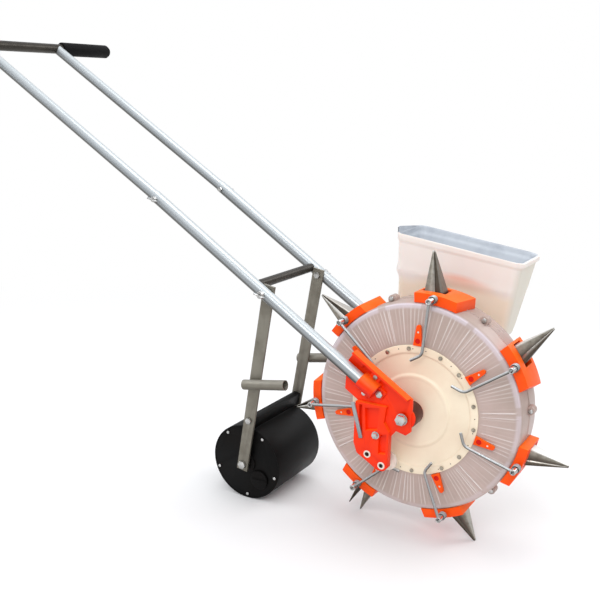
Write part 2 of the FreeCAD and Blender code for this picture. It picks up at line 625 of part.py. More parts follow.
tab_screws = []
for side in ("-clamp_tab", "clamp_tab"):
    start = by_tube(tab_middle, side, "plate_back").Base
    tab_screws.append(bolt("tab_screw", "tab_screw_head", start, near,
                           "plate_front + seat_gap * 2 + tab_thick - plate_back", "tab_screw_rise"))
end_start = by_tube("clamp_bolt_place", "0", "plate_back").Base
end_length = "plate_front + seat_gap * 2 + tab_thick - plate_back"
end_bolt = fuse(rod("clamp_bolt", end_length, end_start, near),
                hex_prism("clamp_bolt_flats", "clamp_bolt_head", end_start + near * number(end_length), near),
                hex_prism("clamp_bolt_flats", "clamp_bolt_head", end_start - near * number("clamp_bolt_head"), near))
stud_start = Vector(number("stud_x"), -number("plate_back - seat_gap"), number("stud_z"))
stud_length = "rib_front + seat_gap * 2 - plate_back"
stud = fuse(rod("stud_radius", stud_length, stud_start, near),
            rod("stud_radius * 2", "stud_washer", stud_start + near * number(stud_length), near),
            hex_prism("stud_flats", "stud_head", stud_start + near * number(f"{stud_length} + stud_washer"), near),
            hex_prism("stud_flats", "stud_head", stud_start - near * number("stud_head"), near))
both_sides("bracket_screws", *tab_screws, end_bolt, stud)

bushes = []
for x, z in (("striker_x", "striker_z"), ("spare_x", "spare_z")):
    body = fuse(through_y("bush_radius", "plate_back", "rib_front - plate_back", x, z),
                through_y("bush_radius + bush_lip", "rib_front", "bush_lip_high", x, z))
    bushes.append(cut(body, through_y("pin_radius + fit_gap", "plate_back - 1", "rib_front", x, z)))
both_sides("bracket_bushes", *bushes)

# Axle with a flanged hexagon nut at each end.
axle_end = "plate_front + axle_over"
keep("axle", rod("axle_radius", f"({axle_end}) * 2", Vector(0, -number(axle_end), 0), Vector(0, 1, 0)))
nut_at = Vector(0, -number(axle_end + " + seat_gap"), 0)
both_sides("axle_nuts", fuse(rod("axle_head_radius", "axle_washer", nut_at, near),
                             hex_prism("axle_hex * 2", "axle_hex_height", nut_at + near * number("axle_washer"), near)))

# Striker roller on a pin held in the near bracket's leg.
pin_back = "striker_near - striker_width - pin_collar - seat_gap"
pin_front = "rib_front + bush_lip_high + seat_gap"
pin_at = Vector(number("striker_x"), -number(pin_back), number("striker_z"))
pin = fuse(rod("pin_radius", f"{pin_front} - ({pin_back})", pin_at, near),
           rod("pin_collar_radius", "pin_collar", pin_at, near))
eye_at = Vector(pin_at.x, -number(f"{pin_front} - pin_eye_deep"), pin_at.z)
keep("striker_pin", cut(pin, rod("pin_eye", "pin_eye_deep + 1", eye_at, near)))
disc_at = Vector(number("striker_x"), -number("striker_near - striker_width"), number("striker_z"))
disc = cut(fuse(rod("striker_radius", "striker_width", disc_at, near),
                rod("striker_boss", "striker_width + plate_back - striker_near - seat_gap", disc_at, near)),
           rod("pin_radius + fit_gap", "plate_back", disc_at - near, near))
keep("striker_roller", disc)

# Guide strip along the near leg's edge.
strip_a = Vector(number("strip_top_x"), 0, number("strip_top_z"))
strip_b = Vector(number("strip_low_x"), 0, number("strip_low_z"))
strip_way = (strip_b - strip_a).normalize()
strip_frame = Rotation(strip_way, near, strip_way.cross(near), "XYZ")
strip_place = Placement(Vector(strip_a.x, -number("rib_front + seat_gap"), strip_a.z), strip_frame)
strip_side = Placement(Vector(0, 0, -number("strip_width / 2")), Rotation())
strip = box("sqrt((strip_top_x - strip_low_x) ^ 2 + (strip_top_z - strip_low_z) ^ 2)", "strip_thick",
            "strip_width", strip_place.multiply(strip_side))
keep("guide_strip", strip)

# Handle: lower tubes clamped in the brackets, thinner upper tubes pushed into them.
def tube(radius, bore_radius, length, point, direction):
    outer = rod(radius, length, point, direction)
    inner = rod(bore_radius, "(" + length + ") + 4", point - Vector(direction).normalize() * 2, direction)
    return cut(outer, inner)


plane = Vector(0, -number("tube_plane"), 0)
pivot_at = tube_foot + along * number("arm_pivot_place")
splice_bolt_at = tube_foot + along * number("splice_place - splice_bolt_back")
tube_start = "clamp_low + clamp_wall + seat_gap"
lower = tube("tube_radius", "tube_bore", f"splice_place - ({tube_start}) - 1",
             tube_foot + along * number(tube_start) + plane, along)
lower_holes = fuse(rod("arm_bolt_radius + seat_gap", "80", pivot_at + plane - near * 40, near),
                   rod("splice_bolt_radius + seat_gap", "80", splice_bolt_at + plane - near * 40, near))
near_lower = keep("near_lower_tube", cut(lower, lower_holes))
mirrored("far_lower_tube", near_lower)
stub_in = tube("upper_radius", "upper_bore", "splice_overlap", splice - along * number("splice_overlap") + plane, along)
knee = primitive("Part::Sphere", {"Radius": "upper_radius"}, Placement(splice + plane, Rotation()))
knee_hollow = primitive("Part::Sphere", {"Radius": "upper_bore"}, Placement(splice + plane, Rotation()))
upper = rod("upper_radius", "upper_length", splice + plane, upper_along)
upper_hollow = rod("upper_bore", "upper_length + 2", splice + plane, upper_along)
lower_hollow = rod("upper_bore", "splice_overlap + 2", splice - along * number("splice_overlap + 2") + plane, along)
bar_cut = rod("bar_radius + fit_gap", "bar_half * 2", bar_at - Vector(0, number("bar_half"), 0), Vector(0, 1, 0))
bolt_cut = rod("splice_bolt_radius + seat_gap", "80", splice_bolt_at + plane - near * 40, near)
near_upper = keep("near_upper_tube", cut(fuse(stub_in, knee, upper),
                                         fuse(upper_hollow, lower_hollow, knee_hollow, bar_cut, bolt_cut)))
mirrored("far_upper_tube", near_upper)
bar_end = bar_at - Vector(0, number("bar_half"), 0)
keep("handlebar", tube("bar_radius", "bar_radius - bar_wall", "bar_half * 2", bar_end, Vector(0, 1, 0)))

grip = turned("grip", [
    ("bar_radius + fit_gap * 4", "-bar_half + grip_length - grip_end"),
    ("grip_radius - 1", "-bar_half + grip_length - grip_end"),
    ("grip_radius", "-bar_half + grip_length - grip_end - 2"), ("grip_radius", "-bar_half + 4"),
    ("grip_radius - 4", "-bar_half - grip_end"), ("0", "-bar_half - grip_end"), ("0", "-bar_half - seat_gap"),
    ("bar_radius + fit_gap * 4", "-bar_half - seat_gap")])
doc.recompute()
grip.Placement = Placement(bar_at, Rotation())
both_sides("hand_grips", grip)

# Cross tube between the lower tubes, its ends hollowed to sit on them.
cross_at = tube_foot + along * number("cross_place")
cross = rod("cross_radius", "tube_plane * 2", cross_at + plane, Vector(0, 1, 0))
saddles = [rod("tube_radius + fit_gap", "60", cross_at + Vector(0, way * number("tube_plane"), 0) - along * 30, along)
           for way in (-1, 1)]
keep("cross_tube", cut(cross, fuse(*saddles)))


def wing_nut(radius, point, direction, tilt):
    """A round nut with two flat wings that rise from its rim."""
    unit = Vector(direction).normalize()
    core = rod(radius, "wing_core", point, unit)
    turn = Rotation(Vector(0, 1, 0), tilt)
    wings = []
    for way in (-1, 1):
        reach = turn.multVec(Vector(way, 0, 0))
        side = Rotation(reach, unit, reach.cross(unit), "XYZ")
        wing = box("wing_reach", "wing_height", "wing_thick", Placement(point + reach * (number(radius) / 2), side))
        wing.Placement = wing.Placement.multiply(
            Placement(Vector(0, 0, -number("wing_thick / 2")), Rotation(Vector(0, 0, 1), number("wing_rise"))))
        wings.append(wing)
    return fuse(core, *wings)


def clamp_bolt(radius, at, outer, inner):
    """A bolt along Y from an outer face to an inner one, with a wing nut on the outer."""
    start = Vector(at.x, -number(inner), at.z)
    length = f"({outer}) - ({inner})"
    return fuse(rod(radius, length, start, near),
                hex_prism(f"({radius}) * 3.2", "bolt_head", start - near * number("bolt_head"), near),
                rod(f"({radius}) * 2", "washer", start + near * number(length), near),
                wing_nut(f"({radius}) * 1.8", start + near * number(f"{length} + washer"), near, number("wing_turn")))


both_sides("splice_bolts", clamp_bolt("splice_bolt_radius", splice_bolt_at, "tube_plane + tube_radius + seat_gap",
                                      "tube_plane - tube_radius - seat_gap"))

# Press frame: two flat arms with a stub tube on each, the scraper and the roller's axle.
roller_at = Vector(number("roller_x"), 0, roller_z)
arm_line = roller_at - pivot_at
arm_length = arm_line.Length
arm_turn = math.degrees(math.atan2(-arm_line.x, -arm_line.z))
arm_place = Placement(pivot_at, Rotation(Vector(0, 1, 0), arm_turn))
arm_outer = "tube_plane - tube_radius - seat_gap"
bar = box("arm_width", "arm_thick", "arm_over * 2", Placement())
bar.setExpression("Height", f"{arm_length} + 2 * sizes.arm_over")
bar_low = Vector(-number("arm_width / 2"), -number(arm_outer), -arm_length - number("arm_over"))
bar.Placement = arm_place.multiply(Placement(bar_low, Rotation()))
arm_way = arm_line * (1 / arm_length)
stub_at = pivot_at + arm_way * number("stub_place")
stub_way = Rotation(Vector(0, 1, 0), -number("stub_tilt")).multVec(Vector(1, 0, 0))
stub_start = stub_at - stub_way * number("stub_back + arm_width / 2 - 6")
stub_start = stub_start - Vector(0, number(arm_outer + " + stub_radius - 0.4"), 0)
stub = rod("stub_radius", "stub_length", stub_start, stub_way)
stub_hollow = rod("stub_bore", "stub_length + 4", stub_start - stub_way * 2, stub_way)
scraper_at = pivot_at + arm_way * number("scraper_place")
arm_holes = [rod("arm_bolt_radius + fit_gap", "60", spot + Vector(0, -70, 0), near) for spot in (pivot_at, scraper_at)]
arm_holes.append(rod("roller_end_radius + seat_gap", "60", roller_at + Vector(0, -70, 0), near))
near_arm = keep("near_arm", cut(fuse(bar, stub), fuse(stub_hollow, *arm_holes)))
mirrored("far_arm", near_arm)
arm_inner = "tube_plane - tube_radius - seat_gap - arm_thick"
pivot_bolt = clamp_bolt("arm_bolt_radius", pivot_at, "tube_plane + tube_radius + seat_gap", arm_inner + " - seat_gap")
scraper_bolt = fuse(rod("arm_bolt_radius", "arm_thick + seat_gap * 2 + scraper_bolt_in",
                        scraper_at + near * number(f"{arm_inner} - scraper_bolt_in"), near),
                    hex_prism("arm_bolt_flats", "bolt_head",
                              scraper_at + near * number(f"{arm_outer} + seat_gap * 2"), near))
both_sides("arm_bolts", pivot_bolt, scraper_bolt)
nut_y = near * number(arm_outer + " + seat_gap")
far = Vector(0, 1, 0)
end_nut = hex_prism("roller_nut_flats", "roller_nut", roller_at + nut_y, near)
end_nut_far = hex_prism("roller_nut_flats", "roller_nut", roller_at - nut_y, far)
inner_shaft = rod("roller_axle_radius", f"({arm_inner} - seat_gap) * 2",
                  roller_at + near * number(arm_inner + " - seat_gap"), far)
thin_shaft = rod("roller_end_radius", f"({arm_outer} + roller_nut / 2) * 2",
                 roller_at + near * number(arm_outer + " + roller_nut / 2"), far)
keep("roller_axle", fuse(inner_shaft, thin_shaft, end_nut, end_nut_far))

scraper_frame = Placement(roller_at, Rotation(Vector(0, 0, 1), scraper_at - roller_at))
half_span = f"{arm_inner} - seat_gap"
blade_body = doc.addObject("PartDesign::Body", "scraper")
section = sketch_on(blade_body, "XZ_Plane", f"-({half_span})")
blade = "scraper_back + scraper_thick"
top = "roller_radius + scraper_reach"
loop(section, [("scraper_back", "roller_radius + scraper_gap"),
               ("scraper_back + scraper_thick * 0.4", "roller_radius + scraper_gap"),
               (blade, "roller_radius + scraper_gap + scraper_thick"), (blade, top),
               (blade + " - scraper_width", top), (blade + " - scraper_width", top + " - scraper_thick"),
               ("scraper_back", top + " - scraper_thick")])
pad(blade_body, section, f"({half_span}) * 2")
doc.recompute()
blade_body.Placement = scraper_frame
lugs = []
lug_holes = []
for way in (-1, 1):
    lug_end = scraper_at + Vector(0, way * number(half_span), 0)
    lugs.append(rod("scraper_lug", "scraper_lug_long", lug_end, Vector(0, -way, 0)))
    lug_holes.append(rod("arm_bolt_radius + fit_gap", "scraper_lug_long + 2",
                         lug_end + Vector(0, way, 0), Vector(0, -way, 0)))
keep("scraper", cut(fuse(blade_body, *lugs), fuse(*lug_holes)))

# Press roller: a filled steel drum with screwed end caps and a filler plug.
drum = tube("roller_radius", "roller_radius - roller_wall", "roller_half * 2",
            roller_at - Vector(0, number("roller_half"), 0), far)
keep("roller_drum", drum)
caps = []
screws = []
screw_ring = "roller_screw_circle - 3"
for way in (-1, 1):
    out = Vector(0, way, 0)
    base = roller_at + out * number("roller_half - cap_inset - cap_thick")
    disc = fuse(rod("roller_radius - roller_wall - seat_gap", "cap_thick", base, out),
                rod("cap_hub_radius", "cap_thick + cap_hub", base, out),
                rod("cap_neck_radius", "cap_neck + 1", base - out * number("cap_neck"), out))
    drills = [rod("roller_axle_radius + fit_gap", "40", base - out * 15, out)]
    for index in range(int(number("roller_screws"))):
        angle = math.radians(number("roller_screw_turn") + 360 / number("roller_screws") * index)
        spot = base + Vector(math.cos(angle), 0, math.sin(angle)) * number(screw_ring)
        drills.append(rod("cap_screw + seat_gap", "cap_thick * 3", spot - out * 2, out))
        screws.append(fuse(rod("cap_screw", "cap_thick * 2 + seat_gap", spot - out * number("cap_thick"), out),
                           rod("cap_screw_head", "cap_screw", spot + out * number("cap_thick + seat_gap"), out)))
    if way < 0:
        angle = math.radians(number("plug_turn"))
        plug_at = base + Vector(math.cos(angle), 0, math.sin(angle)) * number("plug_circle")
        drills.append(rod("plug_radius - 4", "20", plug_at - out * 8, out))
        bar_at_cap = plug_at + out * number("cap_thick + seat_gap + plug_height + plug_bar / 2 - 0.5")
        bar_corner = Vector(number("plug_radius * 0.85"), number("plug_bar / 2"), number("plug_bar / 2"))
        plug = fuse(rod("plug_radius - 4 - seat_gap", "cap_thick + 4 + seat_gap", plug_at - out * 4, out),
                    rod("plug_radius", "plug_height", plug_at + out * number("cap_thick + seat_gap"), out),
                    box("plug_radius * 1.7", "plug_bar", "plug_bar", Placement(bar_at_cap - bar_corner, Rotation())))
    caps.append(cut(disc, fuse(*drills)))
keep("roller_end_caps", group(*caps))
keep("roller_cap_screws", group(*screws))
keep("filler_plug", plug)


# Hopper: a wide plastic bin that narrows to one outlet, feeding a chute and seed chamber.
def ring_loft(sections):
    loops = [Part.makePolygon([Vector(*p) for p in corners + corners[:1]]) for corners in sections]
    return Part.makeLoft(loops, True, True)


def four_corners(left, right, front, back, height, slope=0.0):
    """A level or sloping rectangle, as corners in order round it."""
    middle = (left + right) / 2
    return [(x, y, height + slope * (x - middle))
            for x, y in ((left, front), (right, front), (right, back), (left, back))]


def bin_sections(shrink, lift):
    """The bin's mouth, waist and outlet, drawn in by a wall."""
    left, right = number("hopper_left") + shrink, number("hopper_right") - shrink
    front = number("hopper_front") + shrink
    tilt = number("(mouth_right_z - mouth_left_z) / (hopper_right - hopper_left)")
    mouth_z = number("(mouth_left_z + mouth_right_z) / 2")
    mouth = four_corners(left, right, front, number("hopper_back") - shrink, mouth_z + lift, tilt)
    waist = four_corners(number("waist_left") + shrink, number("waist_right") - shrink, front,
                         number("waist_back") - shrink, number("waist_z"), tilt * number("waist_slope"))
    outlet = four_corners(number("outlet_left") + shrink, number("outlet_right") - shrink, front,
                          number("outlet_back") - shrink, number("outlet_z") - lift)
    return [outlet, waist, mouth]


wall = number("hopper_wall")
keep("hopper", solid(ring_loft(bin_sections(0, 0)).cut(ring_loft(bin_sections(wall, wall)))))


def chute(shrink, lift):
    top = four_corners(number("outlet_left") + shrink, number("outlet_right") - shrink, number("hopper_front") + shrink,
                       number("outlet_back") - shrink, number("outlet_z - seat_gap") + lift)
    low = four_corners(number("chute_left") + shrink, number("chute_right") - shrink, number("cap_near + wall_step") + shrink,
                       number("cap_far") - shrink, number("chute_low"))
    return ring_loft([low, top])


axle_way = Vector(0, 1, 0)
cap_at = Vector(0, number("cap_near"), 0)
cap_deep = number("cap_far - cap_near")
core_radius = number("boss_radius + seat_gap")
outer_cap = Part.makeCylinder(number("cap_radius"), cap_deep, cap_at, axle_way)
inner_cap = Part.makeCylinder(number("cap_radius") - wall, cap_deep - wall, cap_at, axle_way)
core = Part.makeCylinder(core_radius + wall, cap_deep, cap_at, axle_way)
core_bore = Part.makeCylinder(core_radius, cap_deep * 2, cap_at - axle_way * wall, axle_way)
chamber = outer_cap.fuse(chute(0, 0)).cut(chute(wall, wall)).cut(inner_cap).fuse(core).cut(core_bore)
keep("hopper_spout", solid(chamber.removeSplitter()))

doc.recompute()
for thing in doc.Objects:
    if "Invalid" in thing.State or "Error" in thing.State:
        raise RuntimeError(f"{thing.Label} failed: {thing.State}")
for name, thing in kept.items():
    shape = thing.Shape
    if shape.isNull() or not shape.isValid():
        raise RuntimeError(f"{name} has no sound shape")
os.makedirs("parts", exist_ok=True)
for name, thing in kept.items():
    thing.Shape.exportStep(f"parts/{name}.step")
print(len(kept), "sub-parts, axle at", round(axle_x, 2), round(axle_z, 2))
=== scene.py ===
import json
import math
import bmesh
import bpy
import numpy as np
from mathutils import Matrix, Vector


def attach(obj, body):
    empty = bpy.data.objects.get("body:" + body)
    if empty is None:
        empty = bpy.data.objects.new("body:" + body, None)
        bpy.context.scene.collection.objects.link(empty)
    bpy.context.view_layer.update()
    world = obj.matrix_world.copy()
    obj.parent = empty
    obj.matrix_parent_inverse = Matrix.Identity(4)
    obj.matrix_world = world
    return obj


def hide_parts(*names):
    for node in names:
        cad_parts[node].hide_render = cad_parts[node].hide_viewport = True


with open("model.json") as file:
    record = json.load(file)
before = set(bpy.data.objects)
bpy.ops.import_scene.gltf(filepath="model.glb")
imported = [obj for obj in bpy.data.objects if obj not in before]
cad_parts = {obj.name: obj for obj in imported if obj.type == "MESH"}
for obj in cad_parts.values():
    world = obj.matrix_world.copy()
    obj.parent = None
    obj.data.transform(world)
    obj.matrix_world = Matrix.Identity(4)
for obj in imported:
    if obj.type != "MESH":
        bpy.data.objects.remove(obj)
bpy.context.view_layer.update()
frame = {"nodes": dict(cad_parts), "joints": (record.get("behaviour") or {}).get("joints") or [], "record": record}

scene = bpy.context.scene
scene.view_settings.view_transform = "Standard"
joints = {joint["name"]: joint for joint in frame["joints"]}
axleAt = np.array(joints["wheel_spin"]["pos_m"])
beakCount = 7
print("frame loaded")

# The camera stands where the photograph was taken from; metres from the axle, then degrees.
cameraSet = {
    "place": (0.5940, -1.4855, 0.5897), "azimuth": 30.87, "elevation": 21.89, "roll": 0.51,
    "focalPixels": 824.9, "principalRow": 422.4, "imageSize": 600, "sensor": 36.0,
}


def addCamera(s):
    az, el, roll = (math.radians(s[key]) for key in ("azimuth", "elevation", "roll"))
    ahead = Vector((-math.sin(az) * math.cos(el), math.cos(az) * math.cos(el), -math.sin(el)))
    side = Vector((math.cos(az), math.sin(az), 0))
    up = side.cross(ahead)
    level = side * math.cos(roll) + up * math.sin(roll)
    top = up * math.cos(roll) - side * math.sin(roll)
    data = bpy.data.cameras.new("photoCamera")
    data.sensor_width = s["sensor"]
    data.lens = s["focalPixels"] / s["imageSize"] * s["sensor"]
    data.shift_y = (s["principalRow"] - s["imageSize"] / 2) / s["imageSize"]
    data.clip_end = 50
    camera = bpy.data.objects.new("photoCamera", data)
    turn = Matrix((level, top, -ahead)).transposed()
    place = Vector(axleAt) + Vector(s["place"])
    camera.matrix_world = Matrix.Translation(place) @ turn.to_4x4()
    scene.collection.objects.link(camera)
    scene.camera = camera


addCamera(cameraSet)


# A node with its settings, then its inputs: a socket is linked, anything else is a value.
def addNode(tree, kind, links=None, **values):
    node = tree.nodes.new(kind)
    for key, value in values.items():
        setattr(node, key, value)
    for key, source in (links or {}).items():
        if hasattr(source, "is_output"):
            tree.links.new(source, node.inputs[key])
        else:
            node.inputs[key].default_value = source
    return node


def worked(tree, operation, a, b):
    return addNode(tree, "ShaderNodeMath", {0: a, 1: b}, operation=operation).outputs[0]


# Light and floor. From fadeFrom metres out, the floor fades into the white behind it.
stageSet = {
    "sky": (0.96, 0.97, 1.0), "skyStrength": 0.95, "horizon": 0.42, "horizonFrom": 0.02, "horizonTo": 0.45,
    "floor": 0.86, "floorRough": 0.9, "floorShine": 0.1, "floorSize": 24.0, "floorAt": -0.0006,
    "fadeFrom": 0.9, "fadeTo": 2.4, "aim": (0, 0, 0.3),
    "lamps": [
        ("keyLamp", (0.9, -2.6, 2.6), 1.4, 30), ("sideLamp", (-2.8, -1.2, 1.8), 1.6, 16),
        ("backLamp", (1.8, 2.4, 2.4), 1.8, 22), ("topLamp", (0.2, 0.2, 3.2), 1.8, 20)],
}


def addStage(s):
    world = bpy.data.worlds.new("studio")
    scene.world = world
    world.use_nodes = True
    tree = world.node_tree
    tree.nodes.clear()
    ray = addNode(tree, "ShaderNodeTexCoord").outputs["Generated"]
    height = addNode(tree, "ShaderNodeSeparateXYZ", {"Vector": ray}).outputs["Z"]
    level = addNode(tree, "ShaderNodeMapRange", {
        0: height, 1: s["horizonFrom"], 2: s["horizonTo"], 3: s["horizon"], 4: 1.0})
    level.interpolation_type = "SMOOTHSTEP"
    strength = worked(tree, "MULTIPLY", level.outputs[0], s["skyStrength"])
    lit = addNode(tree, "ShaderNodeBackground", {"Color": (*s["sky"], 1), "Strength": strength})
    white = addNode(tree, "ShaderNodeBackground", {"Color": (1, 1, 1, 1)})
    path = addNode(tree, "ShaderNodeLightPath").outputs["Is Camera Ray"]
    mix = addNode(tree, "ShaderNodeMixShader", {0: path, 1: lit.outputs[0], 2: white.outputs[0]})
    addNode(tree, "ShaderNodeOutputWorld", {"Surface": mix.outputs[0]})
    half = s["floorSize"] / 2
    mesh = bpy.data.meshes.new("floor")
    corners = [(-half, -half), (half, -half), (half, half), (-half, half)]
    mesh.from_pydata([(x, y, s["floorAt"]) for x, y in corners], [], [(0, 1, 2, 3)])
    floor = bpy.data.objects.new("floor", mesh)
    scene.collection.objects.link(floor)
    paint = bpy.data.materials.new("floorPaint")
    paint.use_nodes = True
    tree = paint.node_tree
    matt = tree.nodes["Principled BSDF"]
    matt.inputs["Base Color"].default_value = (s["floor"],) * 3 + (1,)
    matt.inputs["Roughness"].default_value = s["floorRough"]
    matt.inputs["Specular IOR Level"].default_value = s["floorShine"]
    place = addNode(tree, "ShaderNodeTexCoord").outputs["Object"]
    reach = addNode(tree, "ShaderNodeVectorMath", {0: place}, operation="LENGTH").outputs["Value"]
    fade = addNode(tree, "ShaderNodeMapRange", {0: reach, 1: s["fadeFrom"], 2: s["fadeTo"]})
    fade.interpolation_type = "SMOOTHSTEP"
    glow = addNode(tree, "ShaderNodeEmission", {"Color": (1, 1, 1, 1)})
    mix = addNode(tree, "ShaderNodeMixShader", {0: fade.outputs[0], 1: matt.outputs[0], 2: glow.outputs[0]})
    tree.links.new(mix.outputs[0], tree.nodes["Material Output"].inputs["Surface"])
    mesh.materials.append(paint)
    for name, spot, size, power in s["lamps"]:
        data = bpy.data.lights.new(name, "AREA")
        data.shape = "DISK"
        data.size = size
        data.energy = power
        lamp = bpy.data.objects.new(name, data)
        lamp.location = spot
        lamp.rotation_euler = (Vector(s["aim"]) - Vector(spot)).to_track_quat("-Z", "Y").to_euler()
        scene.collection.objects.link(lamp)


addStage(stageSet)
print("camera, floor and lamps set")


# Shader groups. Each puts out a colour, mask or height that changes over the surface.
colourSocket = "NodeSocketColor"
numberSocket = "NodeSocketFloat"


def newGroup(name, inputs, outputs):
    tree = bpy.data.node_groups.new(name, "ShaderNodeTree")
    for label, kind, value in inputs:
        socket = tree.interface.new_socket(name=label, in_out="INPUT", socket_type=kind)
        socket.default_value = value
    for label, kind in outputs:
        tree.interface.new_socket(name=label, in_out="OUTPUT", socket_type=kind)
    return tree, tree.nodes.new("NodeGroupInput"), tree.nodes.new("NodeGroupOutput")


def mixColours(tree, factor, a, b):
    return addNode(tree, "ShaderNodeMix", {0: factor, 6: a, 7: b}, data_type="RGBA").outputs[2]


# A value stretched from one span to another and kept inside it.
def spread(tree, value, low, high, toLow=0.0, toHigh=1.0):
    node = addNode(tree, "ShaderNodeMapRange", {0: value, 1: low, 2: high, 3: toLow, 4: toHigh})
    return node.outputs[0]


# The noise that turns into stain, and how far the roughness moves with it.
mottleSet = {"stainSpan": (0.42, 0.72), "roughSpan": (0.3, 0.7), "roughShift": (-0.06, 0.09),
             "bumpDepth": 0.0002}


def makeMottle(s):
    tree, inside, outside = newGroup("mottle", [
        ("Colour", colourSocket, (0.8, 0.8, 0.8, 1)), ("Stain", colourSocket, (0.3, 0.28, 0.25, 1)),
        ("Amount", numberSocket, 0.2), ("Scale", numberSocket, 20.0), ("Grain", numberSocket, 400.0)],
        [("Colour", colourSocket), ("Rough", numberSocket), ("Height", numberSocket)])
    given = inside.outputs
    place = addNode(tree, "ShaderNodeTexCoord").outputs["Object"]
    broad = addNode(tree, "ShaderNodeTexNoise", {
        "Vector": place, "Scale": given["Scale"], "Detail": 5.0, "Roughness": 0.6}).outputs[0]
    fine = addNode(tree, "ShaderNodeTexNoise", {"Vector": place, "Scale": given["Grain"], "Detail": 2.0})
    weighed = worked(tree, "MULTIPLY", spread(tree, broad, *s["stainSpan"]), given["Amount"])
    stained = mixColours(tree, weighed, given["Colour"], given["Stain"])
    tree.links.new(stained, outside.inputs["Colour"])
    tree.links.new(spread(tree, broad, *s["roughSpan"], *s["roughShift"]), outside.inputs["Rough"])
    tree.links.new(fine.outputs[0], outside.inputs["Height"])
    return tree


streakSpan = (0.35, 0.7)  # the noise that turns into dark streaks


def makeStreaks(span):
    tree, inside, outside = newGroup("streaks", [
        ("Colour", colourSocket, (0.8, 0.8, 0.8, 1)), ("Dark", colourSocket, (0.5, 0.5, 0.5, 1)),
        ("Amount", numberSocket, 0.3), ("Turn", numberSocket, 0.0), ("Length", numberSocket, 6.0),
        ("Width", numberSocket, 500.0)],
        [("Colour", colourSocket), ("Value", numberSocket)])
    given = inside.outputs
    place = addNode(tree, "ShaderNodeTexCoord").outputs["Object"]
    turn = addNode(tree, "ShaderNodeVectorRotate", {"Vector": place, "Angle": given["Turn"]},
                   rotation_type="Y_AXIS")
    shape = addNode(tree, "ShaderNodeCombineXYZ", {
        "X": given["Length"], "Y": given["Width"], "Z": given["Width"]})
    scaled = addNode(tree, "ShaderNodeVectorMath", {0: turn.outputs[0], 1: shape.outputs[0]},
                     operation="MULTIPLY")
    noise = addNode(tree, "ShaderNodeTexNoise", {"Vector": scaled.outputs[0], "Scale": 1.0, "Detail": 3.0})
    mask = spread(tree, noise.outputs[0], *span)
    weighed = worked(tree, "MULTIPLY", mask, given["Amount"])
    tree.links.new(mixColours(tree, weighed, given["Colour"], given["Dark"]), outside.inputs["Colour"])
    tree.links.new(mask, outside.inputs["Value"])
    return tree


# How far the surface faces up and down before it takes the painted light above and the painted shade below.
skySpans = {"Above": (0.2, 0.8), "Below": (0.08, -0.32)}


def makeSkyShade(spans):
    tree, inside, outside = newGroup("skyShade", [
        ("Colour", colourSocket, (0.8, 0.8, 0.8, 1)), ("Above", colourSocket, (1, 1, 1, 1)),
        ("Below", colourSocket, (0.2, 0.2, 0.2, 1)), ("Amount", numberSocket, 0.6)],
        [("Colour", colourSocket)])
    given = inside.outputs
    # Painted light and shade: the colour follows how far the surface's normal points up.
    facing = addNode(tree, "ShaderNodeNewGeometry").outputs["Normal"]
    rise = addNode(tree, "ShaderNodeSeparateXYZ", {"Vector": facing}).outputs["Z"]
    shaded = given["Colour"]
    for shade, span in spans.items():
        weighed = worked(tree, "MULTIPLY", spread(tree, rise, *span), given["Amount"])
        shaded = mixColours(tree, weighed, shaded, given[shade])
    tree.links.new(shaded, outside.inputs["Colour"])
    return tree


mottle = makeMottle(mottleSet)
skyShade = makeSkyShade(skySpans)
streaks = makeStreaks(streakSpan)


# A screen colour, 0 to 255, as the linear values that a shader takes.
def colourOf(red, green, blue):
    parts = [value / 255 for value in (red, green, blue)]
    return tuple(v / 12.92 if v <= 0.04045 else ((v + 0.055) / 1.055) ** 2.4 for v in parts) + (1.0,)


def newMaterial(name, values):
    made = bpy.data.materials.new(name)
    made.use_nodes = True
    tree = made.node_tree
    surface = tree.nodes["Principled BSDF"]
    for key, value in values.items():
        surface.inputs[key].default_value = value
    return made, tree, surface


def addMottle(tree, surface, f):
    group = addNode(tree, "ShaderNodeGroup", {
        "Colour": colourOf(*f["colour"]), "Stain": colourOf(*f["stain"]), "Amount": f["amount"],
        "Scale": f["scale"], "Grain": f["grain"]}, node_tree=mottle)
    tree.links.new(group.outputs["Colour"], surface.inputs["Base Color"])
    tree.links.new(worked(tree, "ADD", group.outputs["Rough"], f["rough"]), surface.inputs["Roughness"])
    relief = addNode(tree, "ShaderNodeBump", {
        "Strength": f["bump"], "Distance": mottleSet["bumpDepth"], "Height": group.outputs["Height"]})
    tree.links.new(relief.outputs[0], surface.inputs["Normal"])
    return group


def addSkyShade(tree, surface, colour, above, below, amount):
    group = addNode(tree, "ShaderNodeGroup", {
        "Colour": colour, "Above": colourOf(*above), "Below": colourOf(*below), "Amount": amount},
        node_tree=skyShade)
    tree.links.new(group.outputs["Colour"], surface.inputs["Base Color"])


# Painted light and shade: these finishes are painted lighter where they face the sky and darker where they
# face the floor: the painted light above, the painted shade below and how much of them shows.
skyShades = {
    "bracketPaint": ((255, 112, 30), (206, 14, 0), 0.8), "holderPlastic": ((255, 118, 22), (238, 58, 0), 0.7),
    "beakSteel": ((240, 240, 236), (92, 84, 74), 0.85), "beakDark": ((214, 210, 202), (62, 54, 46), 0.85),
    "zincPart": ((244, 244, 244), (96, 94, 90), 0.7), "armSteel": ((176, 172, 162), (92, 86, 76), 0.6),
    "creamPlate": ((252, 240, 216), (226, 204, 180), 0.5), "rollerPaint": ((26, 26, 26), (3, 3, 3), 0.6),
}


